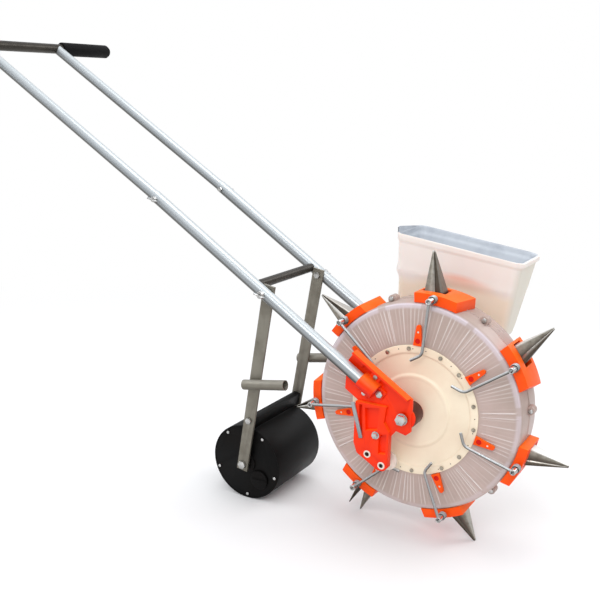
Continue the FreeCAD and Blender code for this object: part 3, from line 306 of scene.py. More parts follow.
# What each finish is. "shine" is the specular level; metal and coat are 0 where they aren't given.
finishes = {
    "bracketPaint": {"colour": (255, 56, 0), "stain": (238, 34, 0), "amount": 0.35, "scale": 26,
                     "grain": 300, "rough": 0.36, "bump": 0.2, "shine": 0.22},
    "holderPlastic": {"colour": (255, 86, 0), "stain": (250, 70, 0), "amount": 0.4, "scale": 30,
                      "grain": 500, "rough": 0.40, "bump": 0.1, "shine": 0.22},
    "creamPlate": {"colour": (246, 232, 206), "stain": (232, 206, 178), "amount": 0.5, "scale": 9,
                   "grain": 420, "rough": 0.34, "bump": 0.05, "coat": 0.05, "shine": 0.4},
    # Lit and shaded copies of one beak steel: the fixed half is painted lighter and the moving half darker, as
    # shade.
    "beakSteel": {"colour": (158, 154, 143), "stain": (104, 98, 86), "amount": 0.75, "scale": 90,
                  "grain": 900, "rough": 0.40, "bump": 0.3, "metal": 0.75, "shine": 0.5},
    "beakDark": {"colour": (98, 90, 79), "stain": (58, 50, 42), "amount": 0.8, "scale": 60,
                 "grain": 900, "rough": 0.34, "bump": 0.25, "metal": 0.85, "shine": 0.5},
    "zincPart": {"colour": (206, 206, 204), "stain": (128, 124, 116), "amount": 0.5, "scale": 60,
                 "grain": 900, "rough": 0.24, "bump": 0.1, "metal": 1.0, "shine": 0.5},
    "screwDark": {"colour": (176, 168, 152), "stain": (70, 62, 52), "amount": 0.8, "scale": 160,
                  "grain": 900, "rough": 0.3, "bump": 0.1, "metal": 0.9, "shine": 0.5},
    "armSteel": {"colour": (136, 132, 121), "stain": (104, 98, 86), "amount": 0.6, "scale": 24,
                 "grain": 620, "rough": 0.5, "bump": 0.25, "metal": 0.6, "shine": 0.4},
    "rollerPaint": {"colour": (6, 6, 6), "stain": (22, 17, 14), "amount": 0.5, "scale": 14,
                    "grain": 240, "rough": 0.44, "bump": 0.15, "shine": 0.1},
    "darkTube": {"colour": (62, 58, 52), "stain": (34, 31, 27), "amount": 0.5, "scale": 30,
                 "grain": 500, "rough": 0.35, "bump": 0.15, "metal": 0.6, "shine": 0.4},
    "gripRubber": {"colour": (9, 9, 10), "stain": (24, 24, 26), "amount": 0.4, "scale": 70,
                   "grain": 1200, "rough": 0.6, "bump": 0.5, "shine": 0.12},
    "bushPlastic": {"colour": (232, 220, 208), "stain": (190, 172, 150), "amount": 0.4, "scale": 80,
                    "grain": 600, "rough": 0.4, "bump": 0.1, "shine": 0.4},
    # The hopper's white plastic painted bluish grey: painted shade on the bin's inside and on its ear.
    "hopperInside": {"colour": (199, 205, 212), "stain": (172, 178, 188), "amount": 0.7, "scale": 26,
                     "grain": 300, "rough": 0.5, "bump": 0.1, "shine": 0.3},
    "ventShadow": {"colour": (96, 84, 72), "stain": (60, 50, 44), "amount": 0.4, "scale": 60,
                   "grain": 300, "rough": 0.7, "bump": 0.1, "shine": 0.2},
    # Painted shade: the seed gate's red, darker where its recess lies.
    "gateRecess": {"colour": (214, 14, 2), "stain": (176, 8, 2), "amount": 0.5, "scale": 60,
                   "grain": 300, "rough": 0.5, "bump": 0.1, "shine": 0.2},
    # Painted shade on the near bracket's boss.
    "collarDark": {"colour": (84, 22, 14), "stain": (40, 12, 8), "amount": 0.5, "scale": 50,
                   "grain": 300, "rough": 0.4, "bump": 0.1, "coat": 0.1, "shine": 0.3},
    # Dark steel for the hub, also used as painted shade in the bush bores and on the striker pin.
    "hubSteel": {"colour": (92, 84, 78), "stain": (48, 40, 36), "amount": 0.6, "scale": 60,
                 "grain": 700, "rough": 0.42, "bump": 0.2, "metal": 0.9, "shine": 0.4},
}
coatRough = 0.15
materials = {}
for name, f in finishes.items():
    made, tree, surface = newMaterial(name, {
        "Metallic": f.get("metal", 0.0), "Coat Weight": f.get("coat", 0.0), "Specular IOR Level": f["shine"],
        "Coat Roughness": coatRough})
    addMottle(tree, surface, f)
    # Painted light and shade by facing, for the finishes listed in skyShades.
    if name in skyShades:
        addSkyShade(tree, surface, surface.inputs["Base Color"].links[0].from_socket, *skyShades[name])
    materials[name] = made


# Zinc drawn lengthways: its streaks run at "turn" degrees, and it is painted pale above and grey below, as
# painted light and painted shade.
zincShared = {"metal": 0.45, "rough": 0.34, "roughSpan": (0.26, 0.36), "above": (204, 211, 214),
              "shade": 0.95, "amount": 0.6, "length": 3.0, "width": 30.0}
zincSets = {
    "tubeZinc": {"colour": (166, 172, 176), "dark": (158, 162, 164), "below": (74, 73, 69), "turn": -32},
    "leverZinc": {"colour": (166, 168, 168), "dark": (140, 138, 132), "below": (70, 68, 64), "turn": 90},
}


def makeZinc(name, s):
    made, tree, surface = newMaterial(name, {"Metallic": s["metal"], "Roughness": s["rough"]})
    group = addNode(tree, "ShaderNodeGroup", {
        "Colour": colourOf(*s["colour"]), "Dark": colourOf(*s["dark"]), "Amount": s["amount"],
        "Turn": math.radians(s["turn"]), "Length": s["length"], "Width": s["width"]}, node_tree=streaks)
    # Painted light above and painted shade below.
    addSkyShade(tree, surface, group.outputs["Colour"], s["above"], s["below"], s["shade"])
    tree.links.new(spread(tree, group.outputs["Value"], 0, 1, *s["roughSpan"]), surface.inputs["Roughness"])
    return made


# Cloudy plastic. "ridge" tints the flutes with a painted highlight, and "band" the rim where it faces up with a
# painted reflection.
clearSet = {
    "colour": (199, 177, 169), "stain": (170, 153, 141), "amount": 0.85, "scale": 5, "grain": 260,
    "rough": 0.3, "bump": 0.05, "shine": 0.3, "alpha": 0.88, "ridge": (248, 240, 236),
    "band": (236, 226, 236), "bandSpan": (-0.1, 0.3), "bandShift": (0.25, 1.0),
}


def makeClearDrum(s):
    made, tree, surface = newMaterial("clearDrum", {
        "Roughness": s["rough"], "Specular IOR Level": s["shine"], "Alpha": s["alpha"]})
    group = addMottle(tree, surface, s)
    lines = addNode(tree, "ShaderNodeAttribute", attribute_name="ridge").outputs["Fac"]
    rim = addNode(tree, "ShaderNodeAttribute", attribute_name="band").outputs["Fac"]
    facing = addNode(tree, "ShaderNodeNewGeometry").outputs["Normal"]
    rise = addNode(tree, "ShaderNodeSeparateXYZ", {"Vector": facing}).outputs["Z"]
    # The band is a painted reflection, strongest where the rim faces up; the ridge lines are a painted highlight.
    band = worked(tree, "MULTIPLY", rim, spread(tree, rise, *s["bandSpan"], *s["bandShift"]))
    lined = mixColours(tree, lines, group.outputs["Colour"], colourOf(*s["ridge"]))
    tree.links.new(mixColours(tree, band, lined, colourOf(*s["band"])), surface.inputs["Base Color"])
    return made


# Milky plastic. Its zones are shares of the way round the walls and up them: the part below an arch on the
# front is "low", painted shade; the crease along that arch is "warm", a painted warm reflection and shade;
# and the right wall under the rim is "side", painted shade.
milkySet = {
    "colour": (242, 234, 228), "stain": (236, 222, 212), "amount": 0.6, "scale": 6, "grain": 300,
    "rough": 0.45, "bump": 0.05, "shine": 0.3, "depth": 0.1, "depthRadius": (0.01, 0.006, 0.004),
    "archAt": 0.85, "archRate": 4.0, "archMost": 0.085, "low": (240, 224, 204), "lowSpan": (0.71, 0.62),
    "creaseSpans": ((0.75, 0.70), (0.58, 0.69)), "middleSpans": ((0.74, 0.84), (0.97, 0.87)),
    "warm": (240, 184, 162), "warmth": 0.8,
    "side": (222, 216, 203), "sideSpans": ((0.005, 0.03), (0.2, 0.17)), "underRim": (0.96, 0.92),
}


def bounded(tree, value, rising, falling):
    return worked(tree, "MULTIPLY", spread(tree, value, *rising), spread(tree, value, *falling))


def makeHopperPlastic(s):
    made, tree, surface = newMaterial("hopperPlastic", {
        "Roughness": s["rough"], "Specular IOR Level": s["shine"], "Subsurface Weight": s["depth"],
        "Subsurface Radius": s["depthRadius"]})
    group = addMottle(tree, surface, s)
    spot = addNode(tree, "ShaderNodeUVMap", uv_map="surface").outputs[0]
    split = addNode(tree, "ShaderNodeSeparateXYZ", {"Vector": spot})
    around, level = split.outputs["X"], split.outputs["Y"]
    off = worked(tree, "SUBTRACT", around, s["archAt"])
    arch = worked(tree, "MULTIPLY", worked(tree, "MULTIPLY", off, off), s["archRate"])
    height = worked(tree, "ADD", worked(tree, "MINIMUM", arch, s["archMost"]), level)
    # Painted shade below the arch.
    low = spread(tree, height, *s["lowSpan"])
    toned = mixColours(tree, low, group.outputs["Colour"], colourOf(*s["low"]))
    # Painted warm reflection and shade along the crease.
    crease = bounded(tree, height, *s["creaseSpans"])
    middle = bounded(tree, around, *s["middleSpans"])
    warm = worked(tree, "MULTIPLY", worked(tree, "MULTIPLY", crease, middle), s["warmth"])
    creased = mixColours(tree, warm, toned, colourOf(*s["warm"]))
    # Painted shade on the right wall under the rim.
    wall = bounded(tree, around, *s["sideSpans"])
    side = worked(tree, "MULTIPLY", wall, spread(tree, level, *s["underRim"]))
    tree.links.new(mixColours(tree, side, creased, colourOf(*s["side"])), surface.inputs["Base Color"])
    return made


for name, zincSet in zincSets.items():
    materials[name] = makeZinc(name, {**zincShared, **zincSet})
materials["clearDrum"] = makeClearDrum(clearSet)
materials["hopperPlastic"] = makeHopperPlastic(milkySet)
slotFinish = {
    "tube_zinc": "tubeZinc", "dull_steel": "armSteel", "beak_steel": "beakSteel", "zinc_fastener": "zincPart",
    "bracket_red": "bracketPaint", "holder_orange": "holderPlastic", "drum_clear": "clearDrum",
    "plate_cream": "creamPlate", "hub_steel": "hubSteel", "roller_black": "rollerPaint",
    "hopper_white": "hopperPlastic", "grip_rubber": "gripRubber", "dark_steel": "darkTube",
    "bush_nylon": "bushPlastic",
}
slotOf = {part["node"]: part["material_slot"] for part in frame["record"]["subparts"]}
bodies = frame["record"]["behaviour"]["bodies"]
bodyOf = {node: body for body, nodes in bodies.items() for node in nodes}
# The striker pin is painted dark, as shade, so that it reads as a dark hole.
nodeFinish = {"plate_screws": "screwDark", "striker_pin": "hubSteel"}
for name, obj in frame["nodes"].items():
    obj.data.materials.clear()
    obj.data.materials.append(materials[nodeFinish.get(name, slotFinish[slotOf[name]])])
print("materials made")


# Surfaces: whole arrays of points in the wheel's frame, millimetres, made into meshes in metres.
def toPart(points):
    return np.asarray(points, dtype=float) / 1000 + axleAt


# x' = x cos a + z sin a and z' = z cos a - x sin a, a turn about the y line through the origin.
def turned(points, degrees):
    angle = math.radians(degrees)
    out = np.array(points, dtype=float)
    x, z = out[..., 0].copy(), out[..., 2].copy()
    out[..., 0] = x * math.cos(angle) + z * math.sin(angle)
    out[..., 2] = z * math.cos(angle) - x * math.sin(angle)
    return out


# A piece made at the upright beak, turned clockwise to another one.
def atBeak(points, index, extra=0.0):
    return turned(points, 360 / beakCount * index + extra)


# Quads between neighbours of a grid that may close on itself along its columns.
def gridFaces(rows, columns, wrap):
    index = np.arange(rows * columns).reshape(rows, columns)
    after = np.roll(index, -1, axis=1) if wrap else index[:, 1:]
    here = index if wrap else index[:, :-1]
    quads = np.stack([here[:-1], after[:-1], after[1:], here[1:]], axis=-1)
    return quads.reshape(-1, 4)


meshSet = {"joinWithin": 0.00002, "sliverWithin": 0.000005}  # metres


# Grids gathered into one mesh, each with the finish it takes.
class Shape:
    def __init__(self):
        self.points, self.faces, self.finish, self.spots = [], [], [], []
        self.count = 0

    def add(self, grid, wrap=False, flip=False, finish=0):
        rows, columns = grid.shape[:2]
        faces = gridFaces(rows, columns, wrap) + self.count
        self.points.append(grid.reshape(-1, 3))
        self.faces.append(faces[:, ::-1] if flip else faces)
        self.finish.append(np.full(len(faces), finish))
        steps = columns if wrap else columns - 1
        down, over = np.meshgrid(np.arange(rows - 1), np.arange(steps), indexing="ij")
        corners = [(over + right, down + below) for right, below in ((0, 0), (1, 0), (1, 1), (0, 1))]
        spots = np.stack([np.stack([u / steps, v / (rows - 1)], axis=-1) for u, v in corners], axis=2)
        spots = spots.reshape(-1, 4, 2)
        self.spots.append(spots[:, ::-1] if flip else spots)
        self.count += rows * columns
        return self

    def piece(self, name, body, slot, finishes, replaced=(), wall=0.0, smooth=40, merge=True, values=None):
        mesh = bpy.data.meshes.new(name)
        points, faces = toPart(np.concatenate(self.points)), np.concatenate(self.faces)
        mesh.from_pydata(points, [], faces)
        mesh.polygons.foreach_set("material_index", np.concatenate(self.finish).astype(np.int32))
        layer = mesh.uv_layers.new(name="surface")
        layer.data.foreach_set("uv", np.concatenate(self.spots).ravel())
        for finish in finishes:
            mesh.materials.append(materials[finish])
        if merge:
            work = bmesh.new()
            work.from_mesh(mesh)
            bmesh.ops.remove_doubles(work, verts=work.verts, dist=meshSet["joinWithin"])
            bmesh.ops.dissolve_degenerate(work, edges=work.edges, dist=meshSet["sliverWithin"])
            if not wall:
                bmesh.ops.recalc_face_normals(work, faces=work.faces)
            work.to_mesh(mesh)
            work.free()
        for label, numbers in (values or {}).items():
            layer = mesh.attributes.new(label, "FLOAT", "POINT")
            layer.data.foreach_set("value", np.asarray(numbers, dtype=np.float32).ravel())
        mesh.polygons.foreach_set("use_smooth", np.ones(len(mesh.polygons), dtype=bool))
        mesh.set_sharp_from_angle(angle=math.radians(smooth))
        made = bpy.data.objects.new(name, mesh)
        scene.collection.objects.link(made)
        if wall:
            shell = made.modifiers.new("wall", "SOLIDIFY")
            shell.thickness = wall / 1000
            shell.offset = -1
        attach(made, body)
        if replaced:
            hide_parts(*replaced)


# A profile of (radius, y) turned about a line along y: x = r sin a, z = r cos a.
def revolved(profile, steps, axisAt=(0.0, 0.0)):
    profile = np.asarray(profile, dtype=float)
    angles = np.linspace(0, 2 * math.pi, steps, endpoint=False)
    radius = profile[:, :1] * np.ones(steps)
    depth = profile[:, 1:] * np.ones(steps)
    x, z = axisAt[0] + radius * np.sin(angles), axisAt[1] + radius * np.cos(angles)
    return np.stack([x, depth, z], axis=-1)


# The profile with each inner corner replaced by a quadratic curve of about that radius.
def rounded(profile, radius, steps=4):
    profile = np.asarray(profile, dtype=float)
    out = [profile[0]]
    for before, corner, after in zip(profile[:-2], profile[1:-1], profile[2:]):
        inward, outward = before - corner, after - corner
        reach = min(radius, np.linalg.norm(inward) * 0.45, np.linalg.norm(outward) * 0.45)
        start = corner + inward / np.linalg.norm(inward) * reach
        end = corner + outward / np.linalg.norm(outward) * reach
        t = np.linspace(0, 1, steps)[:, None]
        out.extend((1 - t) ** 2 * start + 2 * t * (1 - t) * corner + t ** 2 * end)
    out.append(profile[-1])
    return np.array(out)


# Circles carried along a path: p + r (n cos b + m sin b), n and m square to the tangent.
# Both ends are closed.
def swept(path, radius, sides=16, reference=(0, 1, 0)):
    path = np.asarray(path, dtype=float)
    tangent = np.gradient(path, axis=0)
    tangent /= np.linalg.norm(tangent, axis=1, keepdims=True)
    first = np.cross(np.broadcast_to(np.asarray(reference, dtype=float), tangent.shape), tangent)
    first /= np.linalg.norm(first, axis=1, keepdims=True)
    second = np.cross(tangent, first)
    radii = np.broadcast_to(np.asarray(radius, dtype=float), (len(path),)).copy()
    soft = radii[0] * 0.25
    path = np.concatenate([path[:1], path[:1], path[:1] + tangent[:1] * soft, path[1:-1],
                           path[-1:] - tangent[-1:] * soft, path[-1:], path[-1:]])
    first = np.concatenate([first[:1], first[:1], first, first[-1:], first[-1:]])
    second = np.concatenate([second[:1], second[:1], second, second[-1:], second[-1:]])
    radii = np.concatenate([[0, radii[0] - soft], radii, [radii[-1] - soft, 0]])
    angles = np.linspace(0, 2 * math.pi, sides, endpoint=False)
    ring = first[:, None] * np.cos(angles)[:, None] + second[:, None] * np.sin(angles)[:, None]
    return path[:, None] + ring * radii[:, None, None]


# Drum shells: clear, with fine radial flutes, heavier ribs at the seam lugs and stepped shoulders.
drumSet = {
    "bore": 121, "seat": 137, "shoulder": 212, "shoulderOut": 1.2, "shoulderDrop": 0.3, "radius": 217,
    "faceOut": 51.7, "faceLow": 45, "barrel": 40, "seamRise": 1.4, "seamOuter": 2.2, "seamInner": 1.8,
    "soft": 1.2, "wall": 3.0, "steps": 1232, "faceRows": 20, "smooth": 34,
    "flutes": 154, "fluteDepth": 1.0, "fluteSharp": 5, "ribDepth": 1.8, "ribTurn": 1.7, "ribHalf": 0.5,
    "fluteTone": 0.9, "ribTone": 0.8, "lugTurn": 30.8, "lugRadius": 9, "lugRise": 4, "lugHalf": 9,
    "lugInset": 0.2, "lugGap": 0.15, "bandFrom": 204, "bandTone": 0.85, "breakAt": 0.55, "breakHalf": 0.03,
    "breakTone": 0.35, "startAt": 0.10, "startTone": 0.45, "fade": 0.02,
}


# Flutes are narrow peaks of uneven height; two ribs run beside each lug; all fade at both rims.
def drumRidges(radius, angles, s, seed):
    draw = np.random.default_rng(seed)
    weights = draw.uniform(0.05, 1.0, s["flutes"]) ** 1.6
    turn = angles / (2 * math.pi) * s["flutes"]
    which = np.floor(turn).astype(int) % s["flutes"]
    peak = np.clip(1 - np.abs(turn % 1 - 0.5) * s["fluteSharp"], 0, 1) * weights[which]
    off = (np.degrees(angles) - s["lugTurn"]) % (360 / beakCount)
    off = np.minimum(off, 360 / beakCount - off)
    rib = np.clip(1 - np.abs(off - s["ribTurn"]) / s["ribHalf"], 0, 1)
    inside = np.clip((radius - s["seat"] - 2) / 4, 0, 1) * np.clip((s["bandFrom"] + 2 - radius) / 3, 0, 1)
    return peak * inside, rib * inside


# The rim's pale band, a painted reflection, in one stretch for each beak: fainter at its start and at one break.
def drumBand(radius, angles, s):
    sector = (np.degrees(angles) * beakCount / 360) % 1
    band = np.clip((radius - s["bandFrom"]) / 3, 0, 1) * np.clip((s["radius"] - 1.0 - radius) / 2, 0, 1)
    atBreak = np.clip((np.abs(sector - s["breakAt"]) - s["breakHalf"]) / s["fade"], s["breakTone"], 1)
    atStart = np.clip((sector - s["startAt"]) / s["fade"], s["startTone"], 1)
    return band * atBreak * atStart * s["bandTone"]


# The shell is its profile turned about the axle, with the ridges added along y.
def makeDrumShell(side, way, s):
    slope = np.linspace(0, 1, s["faceRows"])
    face = np.stack([s["seat"] + slope * (s["shoulder"] - s["seat"]),
                     way * (s["faceOut"] + slope * (s["faceLow"] - s["faceOut"]))], axis=-1)
    seam = s["radius"] + s["seamRise"]
    outer = rounded([(s["shoulder"], way * s["faceLow"]),
                     (s["shoulder"] + s["shoulderOut"], way * (s["faceLow"] - s["shoulderDrop"])),
                     (s["radius"], way * s["barrel"]), (s["radius"], way * s["seamOuter"]),
                     (seam, way * s["seamInner"]), (seam, 0.0)], s["soft"], 3)
    profile = np.concatenate([[(s["bore"], way * s["faceOut"])], face, outer[1:]])
    grid = revolved(profile, s["steps"])
    angles = np.linspace(0, 2 * math.pi, s["steps"], endpoint=False) * np.ones((len(profile), 1))
    radius = profile[:, :1] * np.ones(s["steps"])
    peak, rib = drumRidges(radius, angles, s, 8 + way)
    grid[..., 1] += way * (peak * s["fluteDepth"] + rib * s["ribDepth"])
    # Painted highlight on the flutes and ribs, and painted reflection on the rim.
    tints = {"ridge": np.clip(peak * s["fluteTone"] + rib * s["ribTone"], 0, 1),
             "band": drumBand(radius, angles, s)}
    form = Shape().add(grid, wrap=True, flip=way > 0)
    form.piece(side + "DrumShell", "wheel", "drum_clear", ["clearDrum"], [side + "_drum_shell"],
               wall=s["wall"], smooth=s["smooth"], merge=False, values=tints)
    lugFace, lugFoot = way * (s["lugHalf"] - s["lugInset"]), way * s["lugGap"]
    corners = [(0, lugFace), (s["lugRadius"], lugFace), (s["lugRadius"], lugFoot), (0, lugFoot)]
    lug = revolved(rounded(corners, 1.0, 3), 28, axisAt=(0, s["radius"] + s["lugRise"]))
    lugs = Shape()
    for index in range(beakCount):
        lugs.add(atBeak(lug, 0, s["lugTurn"] + 360 / beakCount * index), wrap=True)
    lugs.piece(side + "SeamLugs", "wheel", "drum_clear", ["clearDrum"])


makeDrumShell("near", -1, drumSet)
makeDrumShell("far", 1, drumSet)
print("drum shells made")

# Cover plate: a screwed flange, a shallow dish and a raised centre with a rolled edge. Small vents lie on
# the flange in pairs, each turned by one of ventTurns, in degrees, from a half step between two beaks.
plateSet = {"outer": 135, "dish": 118, "centre": 73, "boss": 42, "bossRise": 0.9, "bore": 20.4, "face": 52.0,
            "thick": 2.6, "dishDepth": 3.2, "soft": 2.2, "steps": 240, "ventRing": 128.3,
            "ventTurns": (-3.6, 8.6), "ventRadius": 1.15, "ventProud": 0.12, "ventDeep": 0.3}


# The plate is its profile turned about the axle.
def makeNearPlate(s):
    out = -(s["face"] + s["thick"])
    profile = [(s["outer"], -s["face"]), (s["outer"], out + 0.4), (s["outer"] - 0.6, out),
               (s["dish"] + 2, out), (s["dish"] - 1, out + s["dishDepth"]),
               (s["centre"] + 5, out + s["dishDepth"]),
               (s["centre"] + 1, out - 0.2), (s["centre"] - 2.5, out - 0.5), (s["centre"] - 6, out),
               (s["boss"], out - s["bossRise"]), (s["bore"], out - s["bossRise"]), (s["bore"], -s["face"])]
    plate = Shape().add(revolved(rounded(profile, s["soft"], 5), s["steps"]), wrap=True)
    plate.piece("nearCoverPlate", "wheel", "plate_cream", ["creamPlate"], ["near_cover_plate"], smooth=50)
    top = out - s["ventProud"]
    disc = revolved([(0, top), (s["ventRadius"], top), (s["ventRadius"], out + s["ventDeep"])], 12)
    vents = Shape()
    for index in range(beakCount * 2):
        for turn in s["ventTurns"]:
            across, up = math.sin(math.radians(turn)), math.cos(math.radians(turn))
            spot = atBeak([[s["ventRing"] * across, out, s["ventRing"] * up]], index / 2)[0]
            vents.add(disc + np.array([spot[0], 0, spot[2]]), wrap=True, flip=True)
    vents.piece("plateVents", "wheel", "plate_cream", ["ventShadow"])


makeNearPlate(plateSet)
print("cover plate made")

# Beaks: two folded halves, tapering from the holder to a blunt point. Columns crowd towards the middle of
# each half, where y changes fastest.
beakSet = {"foot": 222, "movingFoot": 227.6, "root": 231, "tip": 310, "back": -9.5, "seam": 15, "front": 30,
           "half": 17, "tipHalf": 1.6, "tipDeep": 2.0, "wall": 1.8, "gap": 0.3, "square": 0.26,
           "rows": 22, "columns": 41, "rowPower": 0.92, "even": 0.6, "crowded": 0.4, "crowding": 5}


# U sections y = h sgn(sin b)|sin b|^p, x = seam -+ d|cos b|^p, shrinking with height.
def beakHalf(s, forward):
    way = 1 if forward else -1
    gap = s["gap"] if forward else 0
    rootDeep = s["front"] - s["seam"] if forward else s["seam"] - s["back"]
    even = np.linspace(-1, 1, s["columns"])
    b = math.pi / 2 * (s["even"] * even + s["crowded"] * even ** s["crowding"])
    level = np.concatenate([[0], np.linspace(0.0, 1, s["rows"] - 1) ** s["rowPower"]])
    z = s["root"] + (s["tip"] - s["root"]) * level
    z[0] = s["movingFoot"] if forward else s["foot"]
    keep = (1 - level)[:, None]
    half = s["tipHalf"] + (s["half"] - s["tipHalf"]) * keep
    seam = (s["seam"] + gap) * keep + gap * (1 - keep)
    deep = s["tipDeep"] + (rootDeep - s["tipDeep"]) * keep
    y = half * np.sign(np.sin(b)) * np.abs(np.sin(b)) ** s["square"]
    x = seam + way * deep * np.abs(np.cos(b)) ** s["square"]
    return np.stack([x, y, np.broadcast_to(z[:, None], x.shape)], axis=-1)


leverSet = {"pivot": (24.1, 227.4), "plane": -68.6, "bend": (16.9, 122.8), "tip": (-6.6, 108.3),
            "radius": 3.0, "bendRadius": 9, "sleeve": 6.0, "sleeveBore": 3.4, "sleeveDeep": 5.0,
            "near": -73, "far": 29, "openBeak": 5, "openBy": 18.5}


# Circles along a bent line that leaves the sleeve, runs along the drum's face and turns aside at its tip.
def leverForm(s):
    px, pz = s["pivot"]
    path = rounded([(px, s["plane"] + 3, pz + 1), (px - 0.4, s["plane"], pz - 5),
                    (s["bend"][0], s["plane"], s["bend"][1]), (s["tip"][0], s["plane"], s["tip"][1])],
                   s["bendRadius"], 8)
    return swept(path, s["radius"], 18)


# A profile turned about the pivot's line, with a blind bore at its near end.
def sleeveForm(s):
    floor = s["near"] + s["sleeveDeep"]
    outer = rounded([(0.0, floor), (s["sleeveBore"], floor), (s["sleeveBore"], s["near"] + 0.6),
                     (s["sleeveBore"] + 0.5, s["near"]), (s["sleeve"] - 0.7, s["near"]),
                     (s["sleeve"], s["near"] + 0.8), (s["sleeve"], s["far"]), (0.0, s["far"])], 0.6, 3)
    return revolved(outer, 32, axisAt=s["pivot"])


# The same turn as the joint's, about the sleeve's line.
def swungOpen(points, s, by):
    pivot = np.array([s["pivot"][0], 0, s["pivot"][1]])
    return turned(np.array(points, dtype=float) - pivot, by) + pivot


def makeBeak(number, s, lever):
    index = number - 1
    by = lever["openBy"] if number == lever["openBeak"] else 0.0
    own = f"beak_{number}"
    fixed = Shape().add(atBeak(beakHalf(s, False), index), flip=True)
    fixed.piece(f"fixedBeakShell_{number}", "wheel", "beak_steel", ["beakSteel"], ["fixed_" + own],
                wall=s["wall"])
    # The moving half takes the shaded copy: painted shade.
    moving = Shape().add(atBeak(swungOpen(beakHalf(s, True), lever, by), index))
    moving.piece(f"movingBeakShell_{number}", own, "beak_steel", ["beakDark"], ["moving_" + own],
                 wall=s["wall"])
    rod = Shape().add(atBeak(swungOpen(leverForm(lever), lever, by), index), wrap=True, flip=True)
    rod.piece(f"beakLever_{number}", own, "zinc_fastener", ["leverZinc"])
    sleeve = Shape().add(atBeak(swungOpen(sleeveForm(lever), lever, by), index), wrap=True)
    sleeve.piece(f"beakSleeve_{number}", own, "zinc_fastener", ["zincPart"])


for number in range(1, beakCount + 1):
    makeBeak(number, beakSet, leverSet)
print("beaks, levers and sleeves made")

# Seed gates: the red seat of each slot, painted darker as the shade in its recess, and a small pale dot
# beside it.
gateSet = {"across": 2, "seat": 145, "seatRadius": 5.2, "screw": 163, "screwRadius": 2.0, "face": -57.4,
           "deep": 1}


# Each mark is a flat disc: a short profile turned about its own middle.
def makeGateMarks(s):
    marks = Shape()
    back = s["face"] + s["deep"]
    for index in range(beakCount):
        # The seat disc is painted shade in the recess.
        for finish, centre, radius in ((0, s["seat"], s["seatRadius"]), (1, s["screw"], s["screwRadius"])):
            profile = [(0, s["face"]), (radius, s["face"]), (radius, back), (0, back)]
            disc = revolved(profile, 24, axisAt=(s["across"], centre))
            marks.add(atBeak(disc, index), wrap=True, finish=finish)
    marks.piece("gateMarks", "wheel", "holder_orange", ["gateRecess", "bushPlastic"])


makeGateMarks(gateSet)
print("gate marks made")

# Return springs: p(t) = (c cos t, start - length t / last t, c sin t) round each sleeve.
springSet = {"coil": 7.35, "wire": 0.8, "turns": 6, "stepsPerTurn": 24, "start": -44.2, "length": 12.6}


def makeSprings(s):
    t = np.linspace(0, 2 * math.pi * s["turns"], s["stepsPerTurn"] * s["turns"])
    px, pz = leverSet["pivot"]
    depth = s["start"] - s["length"] * t / t[-1]
    path = np.stack([px + s["coil"] * np.cos(t), depth, pz + s["coil"] * np.sin(t)], axis=-1)
    coil = swept(path, s["wire"], 8)
    springs = Shape()
    for index in range(beakCount):
        springs.add(atBeak(coil, index), wrap=True)
    springs.piece("returnSprings", "wheel", "zinc_fastener", ["leverZinc"], ["beak_springs"], merge=False)


makeSprings(springSet)
print("springs made")

# Hopper: rounded rectangles lofted from the outlet to the sloping mouth, with a rolled rim. Places named
# "At" are shares of the height; the ear is a thin gusset on the left rim.
hopperSet = {
    "left": -120.6, "right": 145.5, "front": 85.0, "back": 213.0, "mouthLeft": 321.3, "mouthRight": 284.1,
    "waistLeft": -117, "waistRight": 127, "waistBack": 160, "waist": 150, "outletLeft": 16, "outletRight": 62,
    "outletBack": 109, "outlet": 105.2, "outletCorner": 4, "corner": 15, "wall": 3.0, "waistDrop": 14,
    "rim": 2.2, "rimAt": 0.93, "rimFade": 0.02, "rimRight": 1.9, "roll": 5.0, "rollFade": 0.03,
    "rollInset": 22, "rollWide": 14, "lip": 1.2, "stepAt": 0.66, "stepLead": 0.02, "stepFade": 0.016,
    "swell": 3.2, "swellFade": 0.05, "swellFront": 0.35, "swellBack": 0.5, "outletInset": 2,
    "waistInset": 3, "tuck": 3.0, "earRise": 13, "earFront": 9, "earBack": 6, "earFoot": 1.5,
    "earInset": 1.0, "earThick": 1.8, "columns": 176, "rows": 84,
}


# A rectangle with round corners, its points spread evenly along its length.
def roundedRing(left, right, front, back, corner, columns):
    quarter = np.linspace(0, math.pi / 2, 9)
    xs, ys = [], []
    corners = ((right - corner, front + corner, -math.pi / 2), (right - corner, back - corner, 0),
               (left + corner, back - corner, math.pi / 2), (left + corner, front + corner, math.pi))
    for cx, cy, start in corners:
        xs.append(cx + corner * np.cos(quarter + start))
        ys.append(cy + corner * np.sin(quarter + start))
    x, y = np.concatenate(xs), np.concatenate(ys)
    x, y = np.append(x, x[0]), np.append(y, y[0])
    reach = np.concatenate([[0], np.cumsum(np.hypot(np.diff(x), np.diff(y)))])
    even = np.linspace(0, reach[-1], columns, endpoint=False)
    return np.stack([np.interp(even, reach, x), np.interp(even, reach, y)], axis=-1)


# Straight from outlet to waist as low goes from 0 to 1, and on to the mouth with high.
def twoRuns(low, high, outlet, waist, mouth):
    return outlet + (waist - outlet) * low + (mouth - waist) * high


